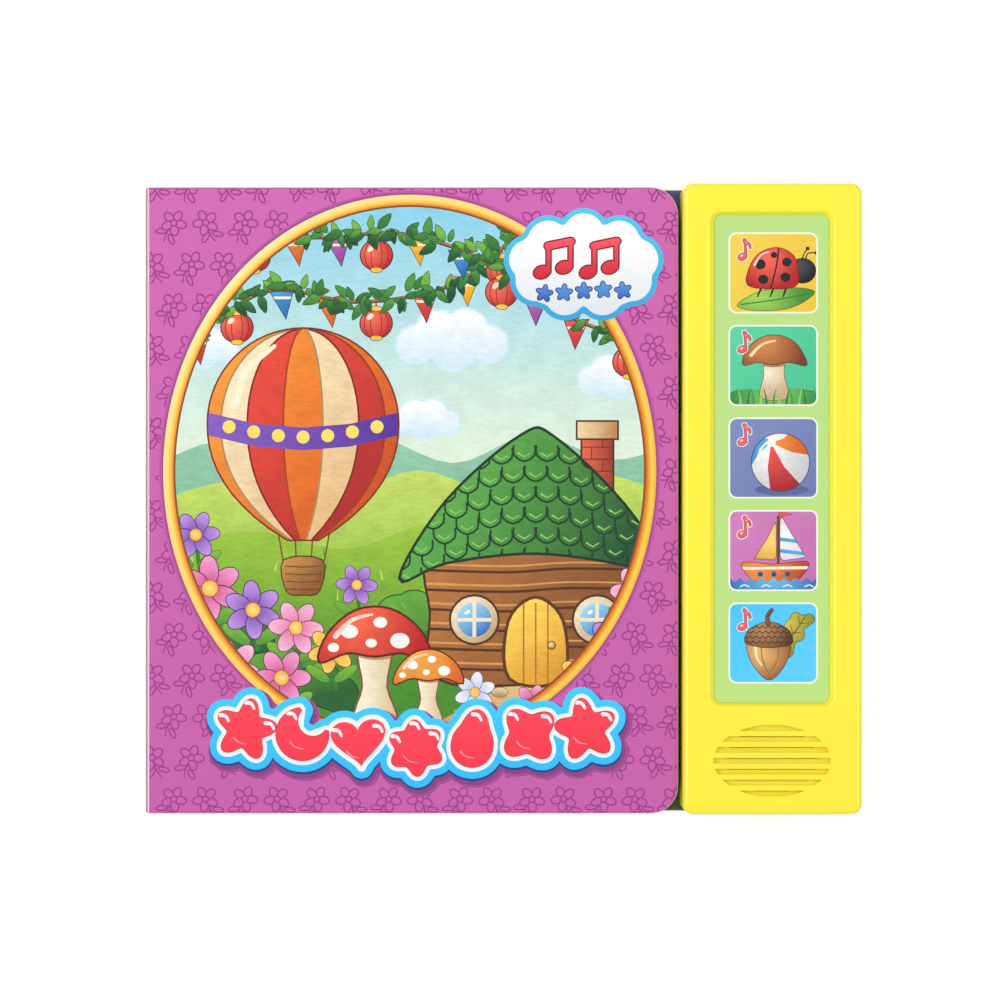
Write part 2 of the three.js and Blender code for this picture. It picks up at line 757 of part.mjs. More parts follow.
/** Battery contacts: a bridge over the first pair, one under the second pair, and the two end terminals. */
function makeContacts() {
  const ceilingPlateZ = boxCeilingZ - plateThickness;
  const half = plateWidth / 2;
  const tabLength = boxWall + tabReach;
  const boxTop = batteryCentreY + boxHalfLength;
  const boxBottom = batteryCentreY - boxHalfLength;
  const lastCell = cellRows[cellCount - 1];
  const bridgeTop = contactPlate(cellRows[1] - half, cellRows[0] + half, ceilingPlateZ);
  const bridgeDoor = contactPlate(lastCell - half, cellRows[1] + half, floorThickness);
  const minus = contactPlate(boxBottom - tabLength, lastCell + half, ceilingPlateZ);
  const clipY = boxTop - endContactRoom + slideClearance;
  const clip = solid(block(
    moduleCentreX - half,
    moduleCentreX + half,
    clipY,
    clipY + plateThickness,
    cellBottomZ,
    boxCeilingZ,
  ));
  const plusTab = solid(contactPlate(clipY, boxTop + tabLength, ceilingPlateZ));
  return [
    piece('bridge_top', bridgeTop, finishes.springSteel),
    piece('bridge_door', bridgeDoor, finishes.springSteel),
    piece('contact_minus', minus, finishes.springSteel),
    piece('contact_plus', clip.add(plusTab), finishes.springSteel),
  ];
}

// Speaker and wires

/** Speaker: a pressed basket, its clear film cone and the magnet behind. */
function makeSpeaker() {
  const r = speakerRadius;
  const rim = 1.3;
  const front = speakerFrontZ;
  const back = basketBottomZ;
  const basket = [
    [0, back],
    [magnetRadius + 1.5, back],
    [r, front - speakerRimHeight],
    [r, front],
    [r - rim, front],
    [r - rim, front - speakerRimHeight + 0.6],
    [magnetRadius + 0.9, back + basketThickness],
    [0, back + basketThickness],
  ];
  const edge = r - rim - fitClearance;
  const seatZ = front - speakerRimHeight + 0.7;
  const coneThickness = 0.3;
  const coneLine = [
    [0, seatZ + 0.5],
    [4.0, seatZ + 0.2],
    [magnetRadius, seatZ - 0.6],
    [edge - 1.1, seatZ],
    [edge, seatZ],
  ];
  const coneUpper = [...coneLine].reverse().map(([radius, z]) => [radius, z + coneThickness]);
  return [
    piece('speaker_frame', turned(moduleCentreX, speakerY, basket), finishes.steel),
    piece('speaker_cone', turned(moduleCentreX, speakerY, [...coneLine, ...coneUpper]), finishes.speakerFilm),
    piece(
      'speaker_magnet',
      rod(moduleCentreX, speakerY, back - magnetHeight, back, magnetRadius, magnetRadius, roundSides),
      finishes.steel,
    ),
  ];
}

/** Wires: two from the battery terminals up to the circuit board, two from the board to the speaker. */
function makeWires() {
  const gap = slideClearance;
  const padZ = boardBottomZ - wireRadius - gap;
  const tabEnd = boxHalfLength + boxWall + tabReach + gap;
  const tabZ = boxCeilingZ - plateThickness / 2;
  const batteryWire = (side) => wire([
    [moduleCentreX, batteryCentreY + side * tabEnd, tabZ],
    [moduleCentreX, batteryCentreY + side * (tabEnd + 2), tabZ],
    [moduleCentreX + 3, batteryCentreY + side * (tabEnd + 5), (tabZ + padZ) / 2],
    [moduleCentreX + 5, batteryCentreY + side * (tabEnd + 8), padZ],
  ]);
  const speakerEnd = speakerY + speakerRadius - 4;
  const speakerWire = (side) => wire([
    [moduleCentreX + side * 3, boardEndBottom + 3, padZ],
    [moduleCentreX + side * 3, boardEndBottom - 1, padZ - 0.4],
    [moduleCentreX + side * 4, speakerEnd + 3, padZ - 0.2],
    [moduleCentreX + side * 4, speakerEnd, padZ + 0.3],
  ]);
  return [
    piece('wire_plus', batteryWire(1), finishes.redWire),
    piece('wire_minus', batteryWire(-1), finishes.blackWire),
    piece('wire_speaker_a', speakerWire(-1), finishes.redWire),
    piece('wire_speaker_b', speakerWire(1), finishes.blackWire),
  ];
}

// The assembly
const soundBook = new THREE.Group();
soundBook.add(makeFrontCover(), makeSpine(), makePageBlock(), makeBackCover());
soundBook.add(makeFrontShell(), makeBackShell(), makeBatteryDoor(), makeLabelFilm());
keyRows.forEach((_, index) => soundBook.add(makeKey(index), makeDome(index)));
soundBook.add(makeCircuitBoard(), makeSoundChip());
cellRows.forEach((_, index) => soundBook.add(makeCell(index)));
soundBook.add(...makeContacts(), ...makeSpeaker(), ...makeWires());
bossPlaces().forEach(([x, y], index) => soundBook.add(makeScrew(`case_screw_${index + 1}`, x, y, screwLength)));
soundBook.add(makeScrew('door_screw', moduleCentreX, doorScrewY, doorScrewLength));

export default soundBook;
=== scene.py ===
"""Sound book: a square board book with a yellow sound module along its right side.

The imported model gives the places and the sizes. This script adds the print, the finishes and the fine edges.
Lengths are millimetres unless a name says otherwise, and every mesh is made in metres in the frame's own axes.
"""

from __future__ import annotations

import json
import logging
import math
import random
from dataclasses import dataclass, field
from enum import Enum
from typing import Callable, Sequence

import bmesh
import bpy
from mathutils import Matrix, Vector
from mathutils.geometry import delaunay_2d_cdt

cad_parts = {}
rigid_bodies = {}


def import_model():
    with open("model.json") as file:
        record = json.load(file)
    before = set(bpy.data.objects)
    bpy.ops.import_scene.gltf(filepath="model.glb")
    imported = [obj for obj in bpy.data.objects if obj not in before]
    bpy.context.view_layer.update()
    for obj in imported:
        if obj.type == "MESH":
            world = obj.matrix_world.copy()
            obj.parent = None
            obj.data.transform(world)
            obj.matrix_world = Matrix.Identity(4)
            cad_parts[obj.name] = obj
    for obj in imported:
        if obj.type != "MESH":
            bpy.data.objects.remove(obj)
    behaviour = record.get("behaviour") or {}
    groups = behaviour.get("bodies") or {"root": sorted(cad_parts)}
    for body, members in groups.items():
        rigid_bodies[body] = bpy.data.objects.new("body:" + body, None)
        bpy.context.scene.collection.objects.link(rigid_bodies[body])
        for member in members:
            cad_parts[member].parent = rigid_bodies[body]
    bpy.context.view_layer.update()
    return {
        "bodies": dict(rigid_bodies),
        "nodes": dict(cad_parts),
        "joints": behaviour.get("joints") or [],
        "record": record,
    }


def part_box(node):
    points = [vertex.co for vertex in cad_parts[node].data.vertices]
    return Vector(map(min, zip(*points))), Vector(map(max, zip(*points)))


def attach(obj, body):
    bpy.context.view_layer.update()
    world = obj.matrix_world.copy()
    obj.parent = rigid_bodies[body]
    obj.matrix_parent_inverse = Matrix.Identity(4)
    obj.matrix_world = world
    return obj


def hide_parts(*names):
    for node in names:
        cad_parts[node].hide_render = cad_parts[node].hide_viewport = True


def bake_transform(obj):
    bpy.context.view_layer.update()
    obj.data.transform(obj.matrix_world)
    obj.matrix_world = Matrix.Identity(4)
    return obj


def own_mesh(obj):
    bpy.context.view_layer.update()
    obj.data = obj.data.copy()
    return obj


MM = 0.001
LOG = logging.getLogger("sound_book")

Point = tuple[float, float]
Colour = tuple[float, float, float]
Shade = Callable[[float, float], Colour]
Outline = list[Point]


# Colours


def linear(code: str) -> Colour:
    """Turns an sRGB hex code to linear colour.

    Args:
        code: Six hex digits, such as "f2c94c".

    Returns:
        Red, green and blue from 0 to 1, linear.
    """
    channels = [int(code[i:i + 2], 16) / 255 for i in (0, 2, 4)]
    return tuple(c / 12.92 if c <= 0.04045 else ((c + 0.055) / 1.055) ** 2.4 for c in channels)


def blend(a: Colour, b: Colour, share: float) -> Colour:
    """Mixes two linear colours, with share of the second."""
    share = min(max(share, 0.0), 1.0)
    return tuple(p + (q - p) * share for p, q in zip(a, b))


def flat(code: str) -> Shade:
    """One colour all over."""
    colour = linear(code)
    return lambda x, y: colour


def slope(first: str, last: str, start: Point, end: Point) -> Shade:
    """A colour that changes evenly from one point to another.

    Args:
        first: Hex code at the start.
        last: Hex code at the end.
        start: Where the change starts.
        end: Where it ends.

    Returns:
        The shade.
    """
    a, b = linear(first), linear(last)
    dx, dy = end[0] - start[0], end[1] - start[1]
    square = dx * dx + dy * dy
    return lambda x, y: blend(a, b, ((x - start[0]) * dx + (y - start[1]) * dy) / square)


def glow(inner: str, outer: str, centre: Point, radius: float) -> Shade:
    """A colour that changes evenly from a centre outwards.

    Args:
        inner: Hex code at the centre.
        outer: Hex code at the radius and past it.
        centre: The middle.
        radius: Where the change ends.

    Returns:
        The shade.
    """
    a, b = linear(inner), linear(outer)
    return lambda x, y: blend(a, b, math.dist((x, y), centre) / radius)


# Outlines


def ellipse(x: float, y: float, rx: float, ry: float = 0.0, turn: float = 0.0, count: int = 24) -> Outline:
    """An ellipse, or a circle where ry is left out.

    Args:
        x: Centre across.
        y: Centre up.
        rx: Half width.
        ry: Half height.
        turn: Degrees, counterclockwise.
        count: Points.

    Returns:
        The outline, counterclockwise.
    """
    ry = ry or rx
    angles = [2 * math.pi * i / count for i in range(count)]
    return moved([(rx * math.cos(a), ry * math.sin(a)) for a in angles], x, y, turn=turn)


def moved(outline: Sequence[Point], x: float, y: float, scale: float = 1.0, turn: float = 0.0) -> Outline:
    """Scales, turns and shifts an outline, in that order.

    Args:
        outline: The shape.
        x: Shift across.
        y: Shift up.
        scale: How much larger it gets.
        turn: Degrees, counterclockwise.

    Returns:
        The placed outline.
    """
    c, s = math.cos(math.radians(turn)) * scale, math.sin(math.radians(turn)) * scale
    return [(x + c * px - s * py, y + s * px + c * py) for px, py in outline]


def rounded(x0: float, x1: float, y0: float, y1: float, left: float, right: float, steps: int = 8) -> Outline:
    """An upright rectangle with round corners.

    Args:
        x0: Left side.
        x1: Right side.
        y0: Bottom.
        y1: Top.
        left: Corner radius at the left.
        right: Corner radius at the right.
        steps: Segments of each corner.

    Returns:
        The outline, counterclockwise from the bottom right corner.
    """
    corners = ((x1 - right, y0 + right, right, -90), (x1 - right, y1 - right, right, 0),
               (x0 + left, y1 - left, left, 90), (x0 + left, y0 + left, left, 180))
    points = []
    for x, y, radius, first in corners:
        angles = [math.radians(first + 90 * i / steps) for i in range(steps + 1)]
        points += [(x + radius * math.cos(a), y + radius * math.sin(a)) for a in angles]
    return points


def curved(points: Sequence[Point], steps: int = 5, closed: bool = True) -> Outline:
    """A smooth line through the given points.

    Args:
        points: What it passes through.
        steps: Segments from one point to the next.
        closed: Whether it runs back to its start.

    Returns:
        The points of the line.
    """
    count = len(points)
    result = []
    for i in range(count if closed else count - 1):
        a, b, c, d = (points[(i + k) % count] if closed else points[min(max(i + k, 0), count - 1)]
                      for k in (-1, 0, 1, 2))
        for j in range(steps):
            t = j / steps
            result.append(tuple(
                0.5 * (2 * q + (r - p) * t + (2 * p - 5 * q + 4 * r - s) * t * t + (3 * q - p - 3 * r + s) * t ** 3)
                for p, q, r, s in zip(a, b, c, d)))
    if not closed:
        result.append(points[-1])
    return result


def band(points: Sequence[Point], width: float, end_width: float | None = None) -> Outline:
    """A stroke along a line, with round ends.

    Args:
        points: The middle line.
        width: Width at its start.
        end_width: Width at its end, the same if left out.

    Returns:
        The outline of the stroke.
    """
    end_width = width if end_width is None else end_width
    last = len(points) - 1
    left, right = [], []
    for i, (x, y) in enumerate(points):
        (ax, ay), (bx, by) = points[max(i - 1, 0)], points[min(i + 1, last)]
        length = math.hypot(bx - ax, by - ay) or 1.0
        half = 0.5 * (width + (end_width - width) * i / last)
        nx, ny = -(by - ay) / length * half, (bx - ax) / length * half
        left.append((x + nx, y + ny))
        right.append((x - nx, y - ny))
    caps = []
    for end, inner, half in ((points[-1], points[-2], end_width / 2), (points[0], points[1], width / 2)):
        heading = math.atan2(end[1] - inner[1], end[0] - inner[0])
        angles = [heading + math.radians(a) for a in (-45, 0, 45)]
        caps.append([(end[0] + half * math.cos(a), end[1] + half * math.sin(a)) for a in angles])
    return right + caps[0] + left[::-1] + caps[1]


def cloud(x: float, y: float, discs: Sequence[tuple[float, float, float]], count: int = 64) -> Outline:
    """The outer edge of overlapping discs, seen from one point inside.

    Args:
        x: Across of the point inside.
        y: Up of the point inside.
        discs: Across, up and radius of each disc.
        count: Points.

    Returns:
        The outline.
    """
    points = []
    for i in range(count):
        angle = 2 * math.pi * i / count
        ux, uy = math.cos(angle), math.sin(angle)
        reach = 0.05
        for dx, dy, radius in discs:
            along = (dx - x) * ux + (dy - y) * uy
            aside = (dy - y) * ux - (dx - x) * uy
            if abs(aside) < radius:
                reach = max(reach, along + math.sqrt(radius * radius - aside * aside))
        points.append((x + reach * ux, y + reach * uy))
    return points


def grown(outline: Sequence[Point], amount: float, count: int = 0) -> Outline:
    """An outline with an even border round it, for shapes that are seen whole from their middle.

    Args:
        outline: The shape.
        amount: The border's width.
        count: Points, by the shape's own if 0.

    Returns:
        The outline of the shape with its border.
    """
    x = sum(p[0] for p in outline) / len(outline)
    y = sum(p[1] for p in outline) / len(outline)
    discs = [(px, py, amount) for px, py in outline]
    return cloud(x, y, discs, count or max(len(outline), 24))


def offset(loop: Sequence[Point], amount: float) -> Outline:
    """Moves each point of a counterclockwise loop outwards by an even amount.

    Args:
        loop: The loop's points.
        amount: How far, negative for inwards.

    Returns:
        As many points as the loop has.
    """
    result = []
    count = len(loop)
    for i, (x, y) in enumerate(loop):
        (ax, ay), (bx, by) = loop[i - 1], loop[(i + 1) % count]
        first = Vector((y - ay, ax - x))
        second = Vector((by - y, x - bx))
        first.normalize()
        second.normalize()
        middle = first + second
        if middle.length < 1e-6:
            middle = first
        middle.normalize()
        stretch = 1 / max(middle.dot(first) if first.length else 1.0, 0.5)
        result.append((x + middle.x * amount * stretch, y + middle.y * amount * stretch))
    return result


def bordered(outline: Sequence[Point], width: float) -> Outline:
    """An outline with a thin even border round it, whichever way it runs."""
    return offset(outline if area(outline) > 0 else outline[::-1], width)


def area(outline: Sequence[Point]) -> float:
    """Signed area, positive where the outline runs counterclockwise."""
    return 0.5 * sum(ax * by - bx * ay for (ax, ay), (bx, by) in zip(outline, [*outline[1:], outline[0]]))


def polar(radius: Callable[[float], float], count: int = 60) -> Outline:
    """An outline whose radius is a function of the angle, about the origin."""
    angles = [2 * math.pi * i / count for i in range(count)]
    return [(radius(a) * math.cos(a), radius(a) * math.sin(a)) for a in angles]


# Print


@dataclass
class Field:
    """One printed shape: its outline, its colour, what it is cut off by and how painted it looks."""

    outline: Outline
    shade: Shade
    within: tuple[int, ...] = ()
    painted: float = 0.0


@dataclass
class Print:
    """A printed side: shapes laid over each other on a ground, which become one layer of faces."""

    ground: Shade
    painted: float = 0.0
    fields: list[Field] = field(default_factory=list)

    def lay(self, outline: Outline, shade: Shade, within: Sequence[int] = (), painted: float = 0.0) -> int:
        """Lays a shape over all that is there.

        Args:
            outline: The shape.
            shade: Its colour.
            within: Numbers of earlier shapes that cut it off.
            painted: How much of the brush's unevenness it has, from 0 to 1.

        Returns:
            The shape's number.
        """
        self.fields.append(Field(outline, shade, tuple(within), painted))
        return len(self.fields)

    def rimmed(self, outline: Outline, shade: Shade, rim: str, width: float, within: Sequence[int] = (),
               painted: float = 0.0) -> int:
        """Lays a shape with a thin border round it, and returns the number of the shape inside.

        Args:
            outline: The shape.
            shade: Its colour.
            rim: The border's code.
            width: The border's width.
            within: Numbers of earlier shapes that cut it off.
            painted: How painted it looks.

        Returns:
            The number of the shape inside.
        """
        self.lay(bordered(outline, width), flat(rim), within, painted)
        return self.lay(outline, shade, within, painted)

    def cells(self, domain: Outline, holes: Sequence[Outline] = (), grid: Sequence[Point] = ()) -> tuple:
        """Splits the domain into triangles that each have one shape on top.

        Args:
            domain: The outer edge, counterclockwise.
            holes: Openings, counterclockwise.
            grid: Points inside that give the faces more detail.

        Returns:
            The points, the triangles, each triangle's field or None, and the input number of each point or -1.
        """
        points: list[Vector] = []
        loops: list[list[int]] = []
        for outline in [domain, *holes, *[f.outline for f in self.fields]]:
            first = len(points)
            ordered = outline if area(outline) > 0 else outline[::-1]
            points.extend(Vector(p) for p in ordered)
            loops.append(list(range(first, len(points))))
        fixed = len(domain) + sum(len(h) for h in holes)
        points.extend(Vector(p) for p in grid)
        inside_triangles = 1
        nearness = 1e-5
        found = delaunay_2d_cdt(points, [], loops, inside_triangles, nearness)
        corners, triangles, origins, owners = found[0], found[2], found[3], found[5]
        shift = len(holes)
        kept, tops = [], []
        for triangle, owner in zip(triangles, owners):
            layers = set(owner)
            if 0 not in layers or any(h + 1 in layers for h in range(shift)):
                continue
            numbers = {k - shift for k in layers if k > shift}
            top = max((k for k in numbers if all(w in numbers for w in self.fields[k - 1].within)), default=0)
            kept.append(list(triangle))
            tops.append(self.fields[top - 1] if top else None)
        used = sorted({v for triangle in kept for v in triangle})
        number = {old: new for new, old in enumerate(used)}
        kept = [[number[v] for v in triangle] for triangle in kept]
        sources = [min((o for o in origins[v] if o < fixed), default=-1) for v in used]
        return [(corners[v].x, corners[v].y) for v in used], kept, tops, sources

    def ink(self, top: Field | None, x: float, y: float) -> tuple[float, float, float, float]:
        """The colour of a point of a face, with how painted it is in the fourth value."""
        shade = top.shade if top else self.ground
        return (*shade(x, y), top.painted if top else self.painted)


def rims(triangles: Sequence[Sequence[int]]) -> list[list[int]]:
    """Finds the open edges of a layer of triangles.

    Args:
        triangles: The layer, counterclockwise.

    Returns:
        Each open loop, with the material at its left.
    """
    edges = {(t[i], t[(i + 1) % 3]) for t in triangles for i in range(3)}
    onward = {a: b for a, b in edges if (b, a) not in edges}
    loops = []
    while onward:
        start = next(iter(onward))
        loop = [start]
        here = onward.pop(start)
        while here != start and here in onward:
            loop.append(here)
            here = onward.pop(here)
        loops.append(loop)
    return loops


@dataclass
class Skin:
    """Points, faces and the colour of each face corner, gathered before they become a mesh."""

    points: list[tuple[float, float, float]] = field(default_factory=list)
    faces: list[list[int]] = field(default_factory=list)
    inks: list[list[tuple[float, float, float, float]]] = field(default_factory=list)

    def mesh(self, name: str, inside_out: bool = False) -> bpy.types.Mesh:
        """Makes the mesh in metres, with the colours in its attribute Ink.

        Args:
            name: The mesh's name.
            inside_out: Whether the faces point inwards and have to be turned.

        Returns:
            The mesh.
        """
        faces = [f[::-1] for f in self.faces] if inside_out else self.faces
        inks = [f[::-1] for f in self.inks] if inside_out else self.inks
        mesh = bpy.data.meshes.new(name)
        mesh.from_pydata([(x * MM, y * MM, z * MM) for x, y, z in self.points], [], faces)
        layer = mesh.color_attributes.new("Ink", "FLOAT_COLOR", "CORNER")
        layer.data.foreach_set("color", [c for face in inks for ink in face for c in ink])
        smooth_by_angle(mesh)
        return mesh


@dataclass
class Board:
    """A printed board or sheet: two printed sides, round edges and a bare core along the cut."""

    name: str
    outline: Outline
    face_z: float
    back_z: float
    face: Print
    back: Print
    roll: float = 0.25
    core: str = "e4ded2"
    holes: list[Outline] = field(default_factory=list)
    grid: list[Point] = field(default_factory=list)
    crown: Callable[[float, float], float] | None = None

    def mesh(self) -> bpy.types.Mesh:
        """Builds the board as one closed mesh.

        Returns:
            The mesh.
        """
        skin = Skin()
        down = 1 if self.back_z > self.face_z else -1
        depth = abs(self.back_z - self.face_z)
        domain = offset(self.outline, -self.roll)
        corners, triangles, tops, _ = self.face.cells(domain, [offset(h, self.roll) for h in self.holes],
                                                      self.grid)
        lift = self.crown or (lambda x, y: 0.0)
        skin.points = [(x, y, self.face_z - down * lift(x, y)) for x, y in corners]
        for triangle, top in zip(triangles, tops):
            skin.faces.append(triangle)
            skin.inks.append([self.face.ink(top, *corners[v]) for v in triangle])
        core = (*linear(self.core), 0.0)
        steps = [math.radians(a) for a in (30, 60, 90)]
        profile = [(self.roll * math.sin(a), self.roll * (1 - math.cos(a))) for a in steps]
        profile += [(self.roll * math.cos(a), depth - self.roll * (1 - math.sin(a))) for a in [0.0, *steps]]
        ends = []
        for loop in rims(triangles):
            flat_loop = [corners[v] for v in loop]
            ring = loop
            for number, (out, drop) in enumerate(profile):
                placed = offset(flat_loop, out)
                first = len(skin.points)
                skin.points += [(x, y, self.face_z + down * drop) for x, y in placed]
                following = list(range(first, first + len(loop)))
                for i in range(len(loop)):
                    j = (i + 1) % len(loop)
                    quad = [ring[j], ring[i], following[i], following[j]]
                    skin.faces.append(quad)
                    if number == 0:
                        skin.inks.append([self.face.ink(None, *flat_loop[k]) for k in (j, i, i, j)])
                    else:
                        skin.inks.append([core] * 4)
                ring = following
            ends.append(([(skin.points[v][0], skin.points[v][1]) for v in ring], ring))
        self.close(skin, ends)
        return skin.mesh(self.name, inside_out=down > 0)

    def close(self, skin: Skin, ends: list[tuple[Outline, list[int]]]) -> None:
        """Fills the back side between the ends of the edges, with its own print.

        Args:
            skin: What is made so far.
            ends: Each edge's last ring, as points and as numbers.
        """
        ends = sorted(ends, key=lambda e: -abs(area(e[0])))
        outer, *openings = ends
        fixed = list(outer[1])
        holes = []
        for points, numbers in openings:
            turned = area(points) < 0
            holes.append(points[::-1] if turned else points)
            fixed += numbers[::-1] if turned else numbers
        corners, triangles, tops, sources = self.back.cells(outer[0], holes)
        numbers = []
        for (x, y), source in zip(corners, sources):
            if source >= 0:
                numbers.append(fixed[source])
            else:
                numbers.append(len(skin.points))
                skin.points.append((x, y, self.back_z))
        for triangle, top in zip(triangles, tops):
            skin.faces.append([numbers[v] for v in triangle[::-1]])
            skin.inks.append([self.back.ink(top, *corners[v]) for v in triangle[::-1]])


# Meshes


def smooth_by_angle(mesh: bpy.types.Mesh, degrees: float = 32.0) -> None:
    """Smooths a mesh over all edges but the sharp ones.

    Args:
        mesh: What is smoothed.
        degrees: The angle from which an edge stays sharp.
    """
    mesh.polygons.foreach_set("use_smooth", [True] * len(mesh.polygons))
    mesh.set_sharp_from_angle(angle=math.radians(degrees))
    mesh.update()


def make_object(name: str, mesh: bpy.types.Mesh) -> bpy.types.Object:
    """Puts a mesh into the scene as an object at the origin.

    Args:
        name: The object's name.
        mesh: Its mesh.

    Returns:
        The object.
    """
    piece = bpy.data.objects.new(name, mesh)
    bpy.context.scene.collection.objects.link(piece)
    return piece


def loft(name: str, rings: Sequence[tuple[float, Outline]]) -> bpy.types.Object:
    """A closed solid through level rings, lowest first, each with as many points as the others.

    Args:
        name: The object's name.
        rings: Height and outline of each ring.

    Returns:
        The object.
    """
    count = len(rings[0][1])
    points = [(x * MM, y * MM, z * MM) for z, ring in rings for x, y in ring]
    faces = [list(range(count))[::-1], [len(points) - count + i for i in range(count)]]
    for level in range(len(rings) - 1):
        low, high = level * count, (level + 1) * count
        faces += [[low + i, low + (i + 1) % count, high + (i + 1) % count, high + i] for i in range(count)]
    mesh = bpy.data.meshes.new(name)
    mesh.from_pydata(points, [], faces)
    return make_object(name, mesh)


def block(name: str, x: Point, y: Point, z: Point) -> bpy.types.Object:
    """A plain box between two limits along each axis, as a cutter."""
    ring = [(x[0], y[0]), (x[1], y[0]), (x[1], y[1]), (x[0], y[1])]
    return loft(name, [(z[0], ring), (z[1], ring)])


def bake(piece: bpy.types.Object) -> None:
    """Turns a piece's modifiers into its plain mesh.

    Args:
        piece: The piece.
    """
    graph = bpy.context.evaluated_depsgraph_get()
    mesh = bpy.data.meshes.new_from_object(piece.evaluated_get(graph))
    piece.modifiers.clear()
    piece.data = mesh


class Cut(Enum):
    """What one solid does to another."""

    TAKE = "DIFFERENCE"
    JOIN = "UNION"
    KEEP = "INTERSECT"


def carve(piece: bpy.types.Object, tool: bpy.types.Object, mode: Cut) -> None:
    """Cuts or joins a piece with a tool, and removes the tool.

    Args:
        piece: What is changed.
        tool: The other solid.
        mode: What it does.
    """
    modifier = piece.modifiers.new("cut", "BOOLEAN")
    modifier.operation = mode.value
    modifier.solver = "EXACT"
    modifier.object = tool
    bake(piece)
    bpy.data.objects.remove(tool)


def cad_copy(name: str) -> bpy.types.Object:
    """A copy of a CAD node as one closed solid.

    Args:
        name: The node's name.

    Returns:
        The copy.
    """
    mesh = bpy.data.meshes.new(name + "_copy")
    work = bmesh.new()
    work.from_mesh(bpy.data.objects[name].data)
    bmesh.ops.remove_doubles(work, verts=work.verts, dist=1e-6)
    work.to_mesh(mesh)
    work.free()
    return make_object(name + "_copy", mesh)


def even_normals(piece: bpy.types.Object) -> None:
    """Sharpens the corners and lets wide faces set the shading, so flat walls look flat.

    Args:
        piece: The piece.
    """
    smooth_by_angle(piece.data)
    modifier = piece.modifiers.new("normals", "WEIGHTED_NORMAL")
    modifier.keep_sharp = True
    bake(piece)


@dataclass(frozen=True)
class Reach:
    """A CAD node's limits in millimetres."""

    x0: float
    x1: float
    y0: float
    y1: float
    z0: float
    z1: float

    @classmethod
    def of(cls, node: str) -> Reach:
        """The limits of a node."""
        low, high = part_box(node)
        return cls(*(value / MM for pair in zip(low, high) for value in pair))

    @property
    def middle(self) -> Point:
        """The middle, seen from above."""
        return (self.x0 + self.x1) / 2, (self.y0 + self.y1) / 2


# Finishes


def add(tree: bpy.types.NodeTree, kind: str, inputs: dict | None = None,
        **settings: object) -> bpy.types.Node:
    """Adds a node with its settings and links.

    Args:
        tree: Where it goes.
        kind: The node's type.
        inputs: For each socket, by name or number, a value or another node's output.
        settings: The node's own properties.

    Returns:
        The node.
    """
    made = tree.nodes.new(kind)
    for key, value in settings.items():
        setattr(made, key, value)
    for key, value in (inputs or {}).items():
        if isinstance(value, bpy.types.NodeSocket):
            tree.links.new(value, made.inputs[key])
        else:
            made.inputs[key].default_value = value
    return made


